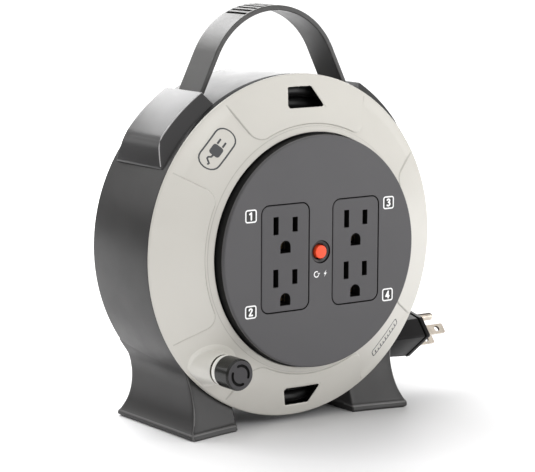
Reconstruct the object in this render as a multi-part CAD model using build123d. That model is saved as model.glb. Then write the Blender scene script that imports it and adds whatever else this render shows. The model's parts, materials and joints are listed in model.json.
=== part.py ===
from build123d import *
import math
import os

# Cassette extension cord reel, millimetres.
# Everything is drawn in the drum's own frame: X right, Y back from the outlet panel's face,
# Z up from the drum's axis. PLACE then stands the finished part on its feet.

# ---- driving dimensions: housing ----
AXIS_HEIGHT = 99.6          # drum axis above the surface that the feet stand on
MID_DEPTH = 54.5            # housing's middle plane behind the outlet panel's face
WALL = 2.6                  # moulded wall thickness
BAND_FRONT = 26.4           # front edge of the round band
BAND_BACK = 84.4            # back rim of the round band
BAND_R_FRONT = 95.4         # outer radius at the front edge
BAND_R_BACK = 94.6          # outer radius at the back rim, with mould draft
BAND_R_INSIDE = 92.5        # straight inside wall
BACK_PLATE_INSIDE = 80.8    # inner face of the back plate
SPLIT_DEPTH = 82.9          # joint between housing shell and back cover, at the back rim
COVER_R = 92.3              # the cover's plate inside the band
RIM_ROUND = 1.6

# ---- driving dimensions: feet ----
FOOT_OUTER_X = 74.2
FOOT_INNER_X = 40.3
FOOT_WAIST = (69.4, -77.0)  # narrowest place of the concave side
FOOT_TOP_ANGLE = -40.6      # where the foot's side meets the band, degrees
FOOT_TIP_Z = -96.4
FOOT_FRONT_R = 96.7         # the flare starts here, outside the drum's rim
FOOT_CORNER_R = 123.6       # radius from the axis to the foot's outer toe
FOOT_TOE_DEPTH = 15.4       # front of the toe
FOOT_BACK = [(96.7, 84.1), (112.0, 86.6), (125.6, 92.9)]    # back face, as radius and depth

# ---- driving dimensions: shoulders and handle ----
SHOULDER_R = 102.6          # outer radius of the shoulder blocks
SHOULDER_END_ANGLE = 58.5   # radial end face that the handle comes out of, degrees
SHOULDER_KINK_ANGLE = 37.0  # start of the ramp down to the band
SHOULDER_FOOT_ANGLE = 30.0  # end of the ramp
SHOULDER_BASE = (31.2, 77.8)
SHOULDER_TOP = (36.9, 72.1)
HANDLE_WIDTH = 22.0
HANDLE_THICK = 2.9
HANDLE_TOP_Z = 132.3
HANDLE_BEND_R = 44.5
HANDLE_BEND_HALF = 64.0     # degrees from the top to each straight leg
HANDLE_FOOT_R = 96.1        # the ends lie on the band under the shoulders
GRIP_GROOVES = 11
GRIP_PITCH = 5.0            # degrees from one groove to the next
GRIP_SIZE = (1.3, 18.5, 1.2)

# ---- driving dimensions: drum ----
RING_R_IN = 65.1
RING_R_OUT = 95.8
RING_FACE_IN = 7.05         # depth of the dished face at its inner edge
RING_FACE_OUT = 24.7        # and at its rim
RING_THICK = 2.8            # measured along the axis
RING_BACK = 25.7
COLLAR_R = 67.9
COLLAR_BACK = 20.0
LAND_R = 69.6               # inner edge of the four raised lands
LAND_HALF_ANGLE = 30.0
RECESS = 0.8
PANEL_R = 64.15
PANEL_EDGE = 1.1
PANEL_THICK = 2.8
BARREL_R = 64.9
BARREL_WALL = 2.5
BARREL_FRONT = 10.0
FLANGE_FRONT = 75.0
FLANGE_THICK = 2.4
FLANGE_R = 90.6

# ---- driving dimensions: bearing ----
POST_R = 8.0
POST_FRONT = 58.0
BUSH_CLEARANCE = 0.06
BUSH_WALL = 1.95
HUB_R = 13.0
HUB_FRONT = 58.7

# ---- driving dimensions: outlets, NEMA 5-15R ----
OUTLET_X = 23.85            # columns left and right of the axis
OUTLET_ROWS = (16.8, -11.95)
BLADE_SPACING = 12.7
GROUND_DROP = 11.9
SLOT_WIDTH = 3.1
NEUTRAL_SLOT = 9.6
LINE_SLOT = 7.9
GROUND_R = 3.4
INSERT_WIDTH = 31.2
INSERT_TOP = 27.9
INSERT_BOTTOM = -30.4
INSERT_CORNER = 4.5
INSERT_GAP = 0.35
INSERT_FLANGE = 2.0
INSERT_BACK = 5.2
CARRIER_BACK = 22.0
CARRIER_COVER_BACK = 24.0

# ---- driving dimensions: overload button ----
BUTTON_R = 4.0
BUTTON_PROUD = 0.5
BUTTON_CLEARANCE = 0.35
BEZEL_R = 6.3

# ---- driving dimensions: winding knob ----
KNOB_ANGLE = -135.0
KNOB_ORBIT = 84.6
KNOB_R = 8.7
KNOB_FRONT = -9.5
KNOB_BACK = 3.0
PAD_TOP = 7.4
KNOB_SHAFT_R = 3.2
SHAFT_CLEARANCE = 0.06

# ---- driving dimensions: cord and plug ----
CORD_R = 4.0
EXIT_Z = -66.0
GUIDE_R = 8.4
GUIDE_BORE = 6.6
GUIDE_END_X = 79.8
PLUG_ROLL = 39.0            # degrees, ground pin leaning back from the vertical
PLUG_FACE_X = 110.1
PLUG_BACK_X = 82.0
RELIEF_BACK_X = 72.0
BLADE_LENGTH = 17.0
GROUND_PIN_LENGTH = 18.2
GROUND_PIN_R = 2.38

CENTRE_DEPTH = 42.35        # middle of the whole part, knob to feet
PLACE = Pos(0, -CENTRE_DEPTH, AXIS_HEIGHT)


# ---- helpers ----
def polar(radius, degrees):
    """Point (x, z) at a radius and angle in the front view."""
    return radius * math.cos(math.radians(degrees)), radius * math.sin(math.radians(degrees))


def polygon(points):
    return make_face(Polyline(*points, close=True))


def turned(points):
    """Solid of revolution about the drum axis from (radius, depth) points."""
    return revolve(polygon([(r, y, 0) for r, y in points]), Axis.Y, 360)


def turned_at(x, z, points):
    return Pos(x, 0, z) * turned(points)


def tube(x, z, r_out, r_in, front, back):
    return turned_at(x, z, [(r_in, front), (r_out, front), (r_out, back), (r_in, back)])


def rod(x, z, radius, front, back):
    return tube(x, z, radius, 0, front, back)


def front_view(sketch, front, back):
    """Extrude a sketch drawn as (x, z) in the front view from one depth to another."""
    plane = Plane(origin=(0, front, 0), x_dir=(1, 0, 0), z_dir=(0, -1, 0))
    return extrude(plane * sketch, -(back - front))


def box_between(low, high):
    size = [b - a for a, b in zip(low, high)]
    centre = [(a + b) / 2 for a, b in zip(low, high)]
    return Pos(*centre) * Box(*size)


def mirrored(shape):
    return mirror(shape, Plane.YZ)


def ring_face(radius):
    """Depth of the dished front face at a radius."""
    slope = (RING_FACE_OUT - RING_FACE_IN) / (RING_R_OUT - RING_R_IN)
    return RING_FACE_IN + slope * (radius - RING_R_IN)


def pan_screw(x, z, head_front, head_r, head_high, shank_r, length):
    """Pan-head screw driven backwards, with a cross recess in its head."""
    head_back = head_front + head_high
    screw = turned_at(x, z, [(0, head_front), (head_r * 0.7, head_front),
                             (head_r, head_front + head_high * 0.55),
                             (head_r, head_back), (shank_r, head_back),
                             (shank_r, head_back + length - shank_r),
                             (0, head_back + length)])
    cross = Box(head_r * 1.1, head_high, head_r * 0.28) + Box(head_r * 0.28, head_high, head_r * 1.1)
    return screw - Pos(x, head_front, z) * cross


def reversed_screw(x, z, head_back, *sizes):
    """The same screw driven forwards: mirrored in the plane of its head."""
    return mirror(pan_screw(x, z, head_back, *sizes), Plane(origin=(0, head_back, 0), z_dir=(0, 1, 0)))


# ---- housing ----
def band_outside():
    return turned([(0, BAND_FRONT), (BAND_R_FRONT, BAND_FRONT), (BAND_R_BACK, BAND_BACK - RIM_ROUND),
                   (BAND_R_BACK - RIM_ROUND * 0.3, BAND_BACK - RIM_ROUND * 0.3),
                   (BAND_R_BACK - RIM_ROUND, BAND_BACK), (0, BAND_BACK)])


def flare(inset, r_low):
    """Space between the feet's front and back faces: a flared ring about the drum axis."""
    front_start = BAND_FRONT - 0.6 + inset
    front_mid = FOOT_TOE_DEPTH + 7.0 + inset
    front_toe = FOOT_TOE_DEPTH - 0.9 + inset
    r_mid = 107.4
    r_end = FOOT_CORNER_R + 2

    (start_r, start_y), (mid_r, mid_y), (end_r, end_y) = [(r, y - inset) for r, y in FOOT_BACK]
    front_curve = ThreePointArc((FOOT_FRONT_R, front_start), (r_mid, front_mid), (r_end, front_toe))
    back_curve = ThreePointArc((start_r, start_y), (mid_r, mid_y), (r_end, end_y))
    outline = [
        Line((r_low, BAND_FRONT + inset), (FOOT_FRONT_R, BAND_FRONT + inset)),
        Line((FOOT_FRONT_R, BAND_FRONT + inset), (FOOT_FRONT_R, front_start)),
        front_curve,
        Line((r_end, front_toe), (r_end, end_y)),
        back_curve,
        Line((start_r, start_y), (r_low, start_y)),
        Line((r_low, start_y), (r_low, BAND_FRONT + inset)),
    ]
    return revolve(make_face(outline), Axis.Y, 360)


def foot_outline(inset):
    """Right foot in the front view; inset moves every side inwards for the hollow."""
    floor = -AXIS_HEIGHT + inset
    toe_x = FOOT_OUTER_X - inset
    toe_round = 2.0
    top = polar(BAND_R_BACK - 0.4, FOOT_TOP_ANGLE)
    inner_x = FOOT_INNER_X + inset
    edges = [
        Line((inner_x, -70.0), (inner_x, floor)),
        Line((inner_x, floor), (toe_x - toe_round, floor)),
        ThreePointArc((toe_x - toe_round, floor), (toe_x - toe_round * 0.2, floor + toe_round * 0.55),
                      (toe_x, FOOT_TIP_Z + inset * 0.6)),
        ThreePointArc((toe_x, FOOT_TIP_Z + inset * 0.6), (FOOT_WAIST[0] - inset, FOOT_WAIST[1]),
                      (top[0] - inset, top[1])),
        Line((top[0] - inset, top[1]), (inner_x, -70.0)),
    ]
    return make_face(edges)


def foot(inset, r_low):
    prism = front_view(foot_outline(inset), FOOT_TOE_DEPTH - 5, 2 * MID_DEPTH - FOOT_TOE_DEPTH + 5)
    return prism & flare(inset, r_low)


def foot_screw_places():
    places = [(48.0, -91.4), (65.2, -83.6)]
    return places + [(-x, z) for x, z in places]


def whole_housing():
    """Band, feet and back plate before they are split into shell and cover."""
    outer_foot = foot(0, BAND_R_INSIDE + 0.5)
    solid = band_outside() + outer_foot + mirrored(outer_foot)
    hollow = foot(WALL, BAND_R_FRONT + WALL)
    solid -= turned([(0, BAND_FRONT - 5), (BAND_R_INSIDE, BAND_FRONT - 5),
                     (BAND_R_INSIDE, BACK_PLATE_INSIDE), (0, BACK_PLATE_INSIDE)])
    solid = solid - hollow - mirrored(hollow)
    for x, z in foot_screw_places():
        solid += rod(x, z, 3.6, FOOT_TOE_DEPTH + 12, BAND_BACK) & foot_envelope()
    return solid


def foot_envelope():
    outer_foot = foot(0, BAND_R_INSIDE + 0.5)
    return outer_foot + mirrored(outer_foot)


def exit_bore(radius, x_start, x_end):
    """Cylinder along X through the cord exit."""
    return Pos((x_start + x_end) / 2, MID_DEPTH, EXIT_Z) * Rot(0, 90, 0) * Cylinder(radius, x_end - x_start)


def shoulder_screw_places():
    """Radial screws, one through the band into each end of a shoulder."""
    return [SHOULDER_FOOT_ANGLE + 9.0, SHOULDER_END_ANGLE - 4.5]


def radial_rod(degrees, radius, r_from, r_to):
    x, z = polar((r_from + r_to) / 2, degrees)
    return Pos(x, MID_DEPTH, z) * Rot(0, 90 - degrees, 0) * Cylinder(radius, r_to - r_from)


def cover_zone(gap):
    """Space behind the joint between the shell and the back cover."""
    return turned([(0, 70), (COVER_R - gap, 70), (COVER_R - gap, SPLIT_DEPTH + gap),
                   (150, SPLIT_DEPTH + gap),
                   (150, 120), (0, 120)])


def make_housing_shell(housing):
    shell = housing - cover_zone(0)
    shell -= exit_bore(GUIDE_R + 0.1, 52, 90)
    for x, z in foot_screw_places():
        shell -= rod(x, z, 1.3, FOOT_TOE_DEPTH + 30, BAND_BACK)
    for degrees in shoulder_screw_places():
        hole = radial_rod(degrees, 1.7, BAND_R_INSIDE - 3, SHOULDER_R)
        shell = shell - hole - mirrored(hole)
    return shell


def make_back_cover(housing):
    cover = housing & cover_zone(0.1)
    dish = turned([(0, BAND_BACK - 1.0), (BAND_R_BACK - 6, BAND_BACK - 1.0),
                   (BAND_R_BACK - 5, BAND_BACK + 1),
                   (0, BAND_BACK + 1)])
    cover -= dish
    locating_lip = tube(0, 0, COVER_R - 0.1, COVER_R - 1.4, BACK_PLATE_INSIDE - 1.5,
                        BACK_PLATE_INSIDE + 0.5)
    cover += locating_lip
    for r_out in (42.0, 70.0):
        cover += tube(0, 0, r_out, r_out - 2.0, BAND_BACK - 1.0, BAND_BACK - 0.2)
    for i in range(8):
        rib = box_between((20, BAND_BACK - 1.0, -0.9), (82, BAND_BACK - 0.2, 0.9))
        cover += Rot(0, 22.5 + 45 * i, 0) * rib
    post = rod(0, 0, POST_R, POST_FRONT, BACK_PLATE_INSIDE + 1)
    buttress = turned([(0, BACK_PLATE_INSIDE - 2.2), (14, BACK_PLATE_INSIDE - 2.2),
                       (18, BACK_PLATE_INSIDE + 0.5),
                       (0, BACK_PLATE_INSIDE + 0.5)])
    cover = cover + post + buttress
    cover -= rod(0, 0, 2.0, POST_FRONT - 1, BACK_PLATE_INSIDE - 4)
    for x, z in foot_screw_places():
        cover -= rod(x, z, 1.8, SPLIT_DEPTH - 2, 130)
        cover -= rod(x, z, 3.3, cover_screw_seat(x, z), 130)
    return cover


def back_face_depth(x, z):
    """Depth of the feet's flared back face at a place in the front view."""
    (start_r, start_y), _, (end_r, end_y) = FOOT_BACK
    return start_y + (end_y - start_y) * ((math.hypot(x, z) - start_r) / (end_r - start_r)) ** 2


def cover_screw_seat(x, z):
    """Sunk as deep as the flare allows, with 1 mm of the cover left under the head."""
    return max(back_face_depth(x, z) - 3.4, SPLIT_DEPTH + 1.0)


def make_back_cover_screws():
    screws = []
    for x, z in foot_screw_places():
        screws.append(reversed_screw(x, z, cover_screw_seat(x, z) + 1.8, 2.9, 1.7, 1.25, 16))
    return screws


# ---- shoulders and handle ----
def shoulder_body(shrink):
    """Right shoulder: a sector with slanted front and back faces, ramped down at its lower end."""
    r_top = SHOULDER_R - shrink
    r_base = BAND_R_FRONT + 0.1
    section = turned([(r_base - 6, SHOULDER_BASE[0] + shrink), (r_base, SHOULDER_BASE[0] + shrink),
                      (r_top, SHOULDER_TOP[0] + shrink), (r_top, SHOULDER_TOP[1] - shrink),
                      (r_base, SHOULDER_BASE[1] - shrink), (r_base - 6, SHOULDER_BASE[1] - shrink)])
    extra = math.degrees(shrink / r_top)
    reach = r_top + 0.05
    arc = ThreePointArc(polar(reach, SHOULDER_KINK_ANGLE + extra),
                        polar(reach, (SHOULDER_KINK_ANGLE + SHOULDER_END_ANGLE) / 2),
                        polar(reach, SHOULDER_END_ANGLE - extra))
    outline = make_face([
        Line(polar(r_base - 8, SHOULDER_FOOT_ANGLE + extra), polar(r_base, SHOULDER_FOOT_ANGLE + extra)),
        Line(polar(r_base, SHOULDER_FOOT_ANGLE + extra), polar(reach, SHOULDER_KINK_ANGLE + extra)),
        arc,
        Line(polar(reach, SHOULDER_END_ANGLE - extra), polar(r_base - 8, SHOULDER_END_ANGLE - extra)),
        Line(polar(r_base - 8, SHOULDER_END_ANGLE - extra), polar(r_base - 8, SHOULDER_FOOT_ANGLE + extra)),
    ])
    band = turned([(0, 0), (BAND_R_FRONT + 0.1, 0), (BAND_R_FRONT + 0.1, BAND_FRONT),
                   (BAND_R_BACK + 0.1, BAND_BACK), (BAND_R_BACK + 0.1, 130), (0, 130)])
    return (section & front_view(outline, 20, 90)) - band


def make_shoulder():
    shell = shoulder_body(0) - shoulder_body(2.2) - handle_solid(0.3)
    for degrees in shoulder_screw_places():
        boss = radial_rod(degrees, 3.4, BAND_R_FRONT - 2, SHOULDER_R - 1.5) & shoulder_body(0)
        shell = shell + boss - radial_rod(degrees, 1.3, BAND_R_FRONT - 3, SHOULDER_R - 2.4)
    return shell


def handle_path(offset):
    """Half of the strap's line, from the top to its hidden end, as edges in the front view."""
    centre_z = HANDLE_TOP_Z - HANDLE_BEND_R
    radius = HANDLE_BEND_R + offset
    a = math.radians(HANDLE_BEND_HALF)
    top = (0.0, centre_z + radius)
    mid = (radius * math.sin(a / 2), centre_z + radius * math.cos(a / 2))
    end = (radius * math.sin(a), centre_z + radius * math.cos(a))
    return top, mid, end, (math.cos(a), -math.sin(a))


def strap_face(outset):
    """Outline of the strap in the front view, thickened by outset all round."""
    out_top, out_mid, out_end, along = handle_path(outset)
    in_top, in_mid, in_end, _ = handle_path(-HANDLE_THICK - outset)
    leg = 33.0
    out_leg = (out_end[0] + leg * along[0], out_end[1] + leg * along[1])
    in_leg = (in_end[0] + (leg + 0.9) * along[0], in_end[1] + (leg + 0.9) * along[1])
    return make_face([
        ThreePointArc(out_top, out_mid, out_end), Line(out_end, out_leg), Line(out_leg, in_leg),
        Line(in_leg, in_end), ThreePointArc(in_end, in_mid, in_top), Line(in_top, out_top),
    ])


def handle_solid(outset):
    """Right half of the strap with its foot that lies on the band."""
    front = MID_DEPTH - HANDLE_WIDTH / 2 - outset
    back = MID_DEPTH + HANDLE_WIDTH / 2 + outset
    strap = front_view(strap_face(outset), front, back)
    strap -= turned([(0, 0), (HANDLE_FOOT_R - outset, 0), (HANDLE_FOOT_R - outset, 130), (0, 130)])
    foot_plate = turned([(HANDLE_FOOT_R - outset, front), (HANDLE_FOOT_R + HANDLE_THICK + outset, front),
                         (HANDLE_FOOT_R + HANDLE_THICK + outset, back), (HANDLE_FOOT_R - outset, back)])
    foot_start = SHOULDER_END_ANGLE - 16.5
    sector = polygon([(0, 0), polar(140, foot_start), polar(140, foot_start + 8),
                      polar(140, SHOULDER_END_ANGLE + 0.8)])
    foot_plate &= front_view(sector, 20, 90)
    return strap + foot_plate


def make_handle():
    half = handle_solid(0)
    handle = half + mirrored(half)
    for degrees in shoulder_screw_places()[1:]:
        hole = radial_rod(degrees, 3.8, BAND_R_FRONT - 2, SHOULDER_R)
        handle = handle - hole - mirrored(hole)
    outer_r = HANDLE_BEND_R
    for i in range(GRIP_GROOVES):
        lean = math.radians((i - (GRIP_GROOVES - 1) / 2) * GRIP_PITCH)
        x, z = outer_r * math.sin(lean), HANDLE_TOP_Z - outer_r + outer_r * math.cos(lean)
        groove = Pos(x, MID_DEPTH, z) * Rot(0, math.degrees(lean), 0) * Box(*GRIP_SIZE)
        handle -= groove
    return handle


def make_shoulder_screws():
    screws = []
    for degrees in shoulder_screw_places():
        head_low = BAND_R_INSIDE - 1.7
        head = radial_rod(degrees, 3.0, head_low, BAND_R_INSIDE - 0.15)
        shank = radial_rod(degrees, 1.3, head_low + 0.5, SHOULDER_R - 3.2)
        slot = radial_rod(degrees, 1.0, head_low - 0.1, head_low + 0.9)
        screw = head + shank - slot
        screws += [screw, mirrored(screw)]
    return screws


# ---- drum ----
def land_outline(mid_angle):
    """Sector of the ring with rounded inner corners."""
    half = math.radians(LAND_HALF_ANGLE)
    far = 110.0
    side = [polar(LAND_R, -LAND_HALF_ANGLE), polar(far, -LAND_HALF_ANGLE),
            (far / math.cos(half) * 1.02, 0), polar(far, LAND_HALF_ANGLE), polar(LAND_R, LAND_HALF_ANGLE)]
    wedge = polygon([(0, 0), side[1], side[2], side[3]]) - Circle(LAND_R)
    corners = wedge.vertices().sort_by(Axis.X)[:2]
    return Rot(0, 0, mid_angle) * fillet(corners, 7.0)


def window_outline():
    outer_z, inner_z = 89.0, 77.9
    points = [(-7.4, outer_z), (8.2, outer_z), (13.4, inner_z), (-11.4, inner_z)]
    face = polygon(points)
    return fillet(face.vertices(), 1.3)


def knob_axis():
    return polar(KNOB_ORBIT, KNOB_ANGLE)


def make_front_flange():
    edge = 0.7
    ring = turned([(RING_R_IN, RING_FACE_IN + edge), (RING_R_IN + edge, RING_FACE_IN + 0.2),
                   (RING_R_OUT - edge, ring_face(RING_R_OUT - edge)),
                   (RING_R_OUT - 0.15, RING_FACE_OUT + 0.1), (RING_R_OUT, RING_FACE_OUT + 0.5),
                   (RING_R_OUT, RING_BACK), (92.65, RING_BACK),
                   (COLLAR_R, ring_face(COLLAR_R) + RING_THICK), (COLLAR_R, COLLAR_BACK),
                   (RING_R_IN, COLLAR_BACK)])
    fade_r = 91.5
    recess = turned([(RING_R_IN - 2, ring_face(RING_R_IN - 2) - 3), (fade_r, ring_face(fade_r) - 3),
                     (fade_r, ring_face(fade_r)), (LAND_R, ring_face(LAND_R) + RECESS),
                     (RING_R_IN + 2.2, ring_face(RING_R_IN + 2.2) + RECESS),
                     (RING_R_IN + 1.4, ring_face(RING_R_IN + 1.4)),
                     (RING_R_IN - 2, ring_face(RING_R_IN - 2))])
    for mid_angle in (0, 90, 180, 270):
        recess -= front_view(land_outline(mid_angle), -10, 40)
    ring -= recess
    x, z = knob_axis()
    back_cone = turned([(0, -20), (RING_R_OUT, -20), (RING_R_OUT, RING_BACK), (92.65, RING_BACK),
                        (COLLAR_R, ring_face(COLLAR_R) + RING_THICK), (0, ring_face(0) + RING_THICK)])
    pad = turned_at(x, z, [(0, PAD_TOP), (8.6, PAD_TOP), (9.4, PAD_TOP + 0.9), (10.6, 24),
                           (0, 24)]) & back_cone
    pad_hollow = turned_at(x, z, [(0, PAD_TOP + 2.4), (6.6, PAD_TOP + 2.4), (7.6, 30), (0, 30)])
    ring = ring + pad - pad_hollow
    ring -= rod(x, z, KNOB_SHAFT_R + 1.9, PAD_TOP - 1, PAD_TOP + 4)
    for turn in (0, 180):
        ring -= Rot(0, turn, 0) * front_view(window_outline(), 5, 40)
    return ring


def core_screw_places():
    return [polar(57.6, 60 * i) for i in range(6)]


def make_drum_core():
    inner = BARREL_R - BARREL_WALL
    core = tube(0, 0, BARREL_R, inner, BARREL_FRONT, FLANGE_FRONT)
    core += tube(0, 0, inner + 0.5, 52.0, BARREL_FRONT + 2.2, BARREL_FRONT + 4.4)
    for x, z in core_screw_places():
        boss = rod(x, z, 3.8, 55, FLANGE_FRONT)
        bridge = Rot(0, -math.degrees(math.atan2(z, x)), 0) * box_between(
            (57, 55, -1.2), (63, FLANGE_FRONT, 1.2))
        core = core + boss + bridge - rod(x, z, 1.25, 57, FLANGE_FRONT + 1)
    for x, z in panel_screw_places():
        core -= rod(x, z, 1.8, BARREL_FRONT, BARREL_FRONT + 6)
    cord_slot = box_between((-6, 62, -BARREL_R - 3), (6, 71, -inner + 4))
    return core - cord_slot


def make_rear_flange():
    hub_back = FLANGE_FRONT + FLANGE_THICK
    bush_r = POST_R + BUSH_CLEARANCE + BUSH_WALL
    flange = turned([(bush_r + 0.02, HUB_FRONT), (HUB_R, HUB_FRONT), (HUB_R, FLANGE_FRONT - 2),
                     (HUB_R + 2, FLANGE_FRONT),
                     (FLANGE_R - 0.8, FLANGE_FRONT), (FLANGE_R, FLANGE_FRONT + 0.8), (FLANGE_R, hub_back),
                     (bush_r + 0.02, hub_back)])
    for i in range(6):
        rib = box_between((HUB_R - 0.5, FLANGE_FRONT - 9, -1), (50, FLANGE_FRONT + 0.2, 1))
        flange += Rot(0, 60 * i, 0) * rib
        x, z = polar(38, 30 + 60 * i)
        flange -= rod(x, z, 6.0, FLANGE_FRONT - 1, hub_back + 1)
    for x, z in core_screw_places():
        flange -= rod(x, z, 1.7, FLANGE_FRONT - 1, hub_back + 1)
        flange -= rod(x, z, 3.0, hub_back - 1.2, hub_back + 1)
    return flange


def make_flange_screws():
    head_back = FLANGE_FRONT + FLANGE_THICK + 0.3
    return [reversed_screw(x, z, head_back, 2.8, 1.5, 1.25, 11) for x, z in core_screw_places()]


def make_bearing_bush():
    r_in = POST_R + BUSH_CLEARANCE
    return tube(0, 0, r_in + BUSH_WALL, r_in, HUB_FRONT + 0.2, FLANGE_FRONT + FLANGE_THICK - 0.1)


def make_axle_washer():
    return tube(0, 0, 12.0, 2.3, POST_FRONT - 1.5, POST_FRONT)


def make_axle_screw():
    return pan_screw(0, 0, POST_FRONT - 4.5, 4.6, 3.0, 1.95, 17)


# ---- outlet panel ----
def insert_outline(outset):
    width = INSERT_WIDTH + 2 * outset
    height = INSERT_TOP - INSERT_BOTTOM + 2 * outset
    return Pos(0, (INSERT_TOP + INSERT_BOTTOM) / 2) * RectangleRounded(width, height, INSERT_CORNER + outset)


def blade_holes(spread):
    """Slots and ground hole of one outlet about the middle of its slot line."""
    half = BLADE_SPACING / 2
    holes = Pos(-half, 0) * RectangleRounded(SLOT_WIDTH + spread, NEUTRAL_SLOT + spread, 0.4)
    holes += Pos(half, 0) * RectangleRounded(SLOT_WIDTH + spread, LINE_SLOT + spread, 0.4)
    ground = Pos(0, -GROUND_DROP) * Circle(GROUND_R + spread / 2)
    ground += Pos(0, -GROUND_DROP - GROUND_R / 2) * Rectangle(2 * GROUND_R + spread, GROUND_R + spread)
    return holes + ground


def panel_screw_places():
    return [polar(56.5, a) for a in (48, 132, 228, 312)]


def make_outlet_panel():
    rim_back = BARREL_FRONT
    panel = turned([(0, 0), (PANEL_R - PANEL_EDGE * 0.9, 0), (PANEL_R - PANEL_EDGE * 0.3, PANEL_EDGE * 0.3),
                    (PANEL_R, PANEL_EDGE), (PANEL_R, rim_back), (PANEL_R - 2.4, rim_back),
                    (PANEL_R - 2.4, PANEL_THICK), (0, PANEL_THICK)])
    for x, z in panel_screw_places():
        panel += rod(x, z, 3.6, PANEL_THICK - 0.2, BARREL_FRONT + 2.0)
        panel -= rod(x, z, 1.25, PANEL_THICK + 1, BARREL_FRONT + 3)
    for x in (-OUTLET_X, OUTLET_X):
        panel -= front_view(Pos(x, 0) * insert_outline(INSERT_GAP), -1, PANEL_THICK + 1)
        for z in (INSERT_TOP + 7.5, INSERT_BOTTOM - 7.5):
            panel += rod(x, z, 3.2, PANEL_THICK - 0.2, CARRIER_COVER_BACK - 1.5)
            panel -= rod(x, z, 1.1, PANEL_THICK + 3, CARRIER_COVER_BACK)
    panel -= rod(0, 0, BEZEL_R + 0.1, -1, 4)
    return panel


def make_panel_screws():
    head_back = BARREL_FRONT + 6.0
    return [reversed_screw(x, z, head_back, 2.9, 1.5, 1.2, 10) for x, z in panel_screw_places()]


def make_outlet_insert(x):
    insert = front_view(Pos(x, 0) * insert_outline(0), 0, PANEL_THICK + 0.1)
    insert += front_view(Pos(x, 0) * insert_outline(INSERT_FLANGE), PANEL_THICK + 0.1, INSERT_BACK)
    for z in OUTLET_ROWS:
        insert -= front_view(Pos(x, z) * blade_holes(0), -1, INSERT_BACK + 1)
    return insert


def contact_pockets():
    """Hollows behind one outlet's holes, with room for the spring contacts."""
    half = BLADE_SPACING / 2
    pockets = Pos(-half, 0) * Rectangle(6.4, 11.6)
    pockets += Pos(half, 0) * Rectangle(6.4, 11.6)
    pockets += Pos(0, -GROUND_DROP) * Rectangle(10.0, 8.4)
    return pockets


def make_contact_carrier(x):
    width = INSERT_WIDTH + 1.6
    top, bottom = INSERT_TOP + 1, INSERT_BOTTOM - 1
    carrier = box_between((x - width / 2, INSERT_BACK, bottom), (x + width / 2, CARRIER_BACK, top))
    carrier += carrier_ears(x, INSERT_BACK + 10, CARRIER_BACK)
    for z in OUTLET_ROWS:
        carrier -= front_view(Pos(x, z) * contact_pockets(), INSERT_BACK + 1.2, CARRIER_BACK - 2.2)
        carrier -= front_view(Pos(x, z) * blade_holes(0.4), INSERT_BACK - 1, INSERT_BACK + 2)
    half = BLADE_SPACING / 2
    for side, wide in ((-half, 6.4), (half, 6.4), (0, 10.0)):
        trough = box_between((x + side - wide / 2, CARRIER_BACK - 2.3, bottom + 2),
                             (x + side + wide / 2, CARRIER_BACK + 1, top - 2))
        carrier -= trough
    return carrier


def carrier_ears(x, front, back):
    """Lugs at top and bottom that take the carrier's screws."""
    ears = None
    for z, side in ((INSERT_TOP + 7.5, 1), (INSERT_BOTTOM - 7.5, -1)):
        low, high = sorted((z - side * 7, z + side * 0.0))
        lug = box_between((x - 4.6, front, low), (x + 4.6, back, high)) + rod(x, z, 4.6, front, back)
        lug -= rod(x, z, 3.35, front - 1, back + 1)
        ears = lug if ears is None else ears + lug
    return ears


def make_carrier_cover(x):
    width = INSERT_WIDTH + 1.6
    top, bottom = INSERT_TOP + 1, INSERT_BOTTOM - 1
    cover = box_between((x - width / 2, CARRIER_BACK, bottom), (x + width / 2, CARRIER_COVER_BACK, top))
    for z, side in ((INSERT_TOP + 7.5, 1), (INSERT_BOTTOM - 7.5, -1)):
        low, high = sorted((z - side * 7, z))
        cover += box_between((x - 4.6, CARRIER_BACK, low), (x + 4.6, CARRIER_COVER_BACK, high))
        cover += rod(x, z, 4.6, CARRIER_BACK, CARRIER_COVER_BACK)
        cover -= rod(x, z, 3.35, CARRIER_BACK - 1, CARRIER_COVER_BACK - 1.4)
        cover -= rod(x, z, 1.5, CARRIER_BACK - 1, CARRIER_COVER_BACK + 1)
    half = BLADE_SPACING / 2
    for side in (-half, half, 0):
        cover -= rod(x + side, -25.5, 1.9, CARRIER_BACK - 1, CARRIER_COVER_BACK + 1)
    return cover


def make_carrier_screws():
    return [reversed_screw(x, z, CARRIER_COVER_BACK + 1.5, 2.8, 1.4, 1.05, 12)
            for x in (-OUTLET_X, OUTLET_X) for z in (INSERT_TOP + 7.5, INSERT_BOTTOM - 7.5)]


def make_contact_strip(x, side, jaw_height, jaw_drop, jaw_gap):
    """Brass strip with one two-leaf spring contact behind each outlet and a solder tail."""
    bar_front, bar_back = CARRIER_BACK - 1.4, CARRIER_BACK - 0.4
    centre = x + side
    low, high = OUTLET_ROWS[1] - 16.5, OUTLET_ROWS[0] + 4.5
    strip = box_between((centre - 3.1, bar_front, low), (centre + 3.1, bar_back, high))
    for row in OUTLET_ROWS:
        z = row - jaw_drop
        for sign in (-1, 1):
            near, far = sorted((centre + sign * jaw_gap / 2, centre + sign * (jaw_gap / 2 + 0.7)))
            strip += box_between((near, INSERT_BACK + 3, z - jaw_height / 2),
                                 (far, bar_front + 0.2, z + jaw_height / 2))
            near, far = sorted((centre + sign * jaw_gap / 2, centre + sign * (jaw_gap / 2 + 1.3)))
            strip += box_between((near, INSERT_BACK + 2.4, z - jaw_height / 2),
                                 (far, INSERT_BACK + 3.2, z + jaw_height / 2))
    return strip + rod(centre, -25.5, 1.5, bar_back - 0.2, CARRIER_COVER_BACK + 2.5)


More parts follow.
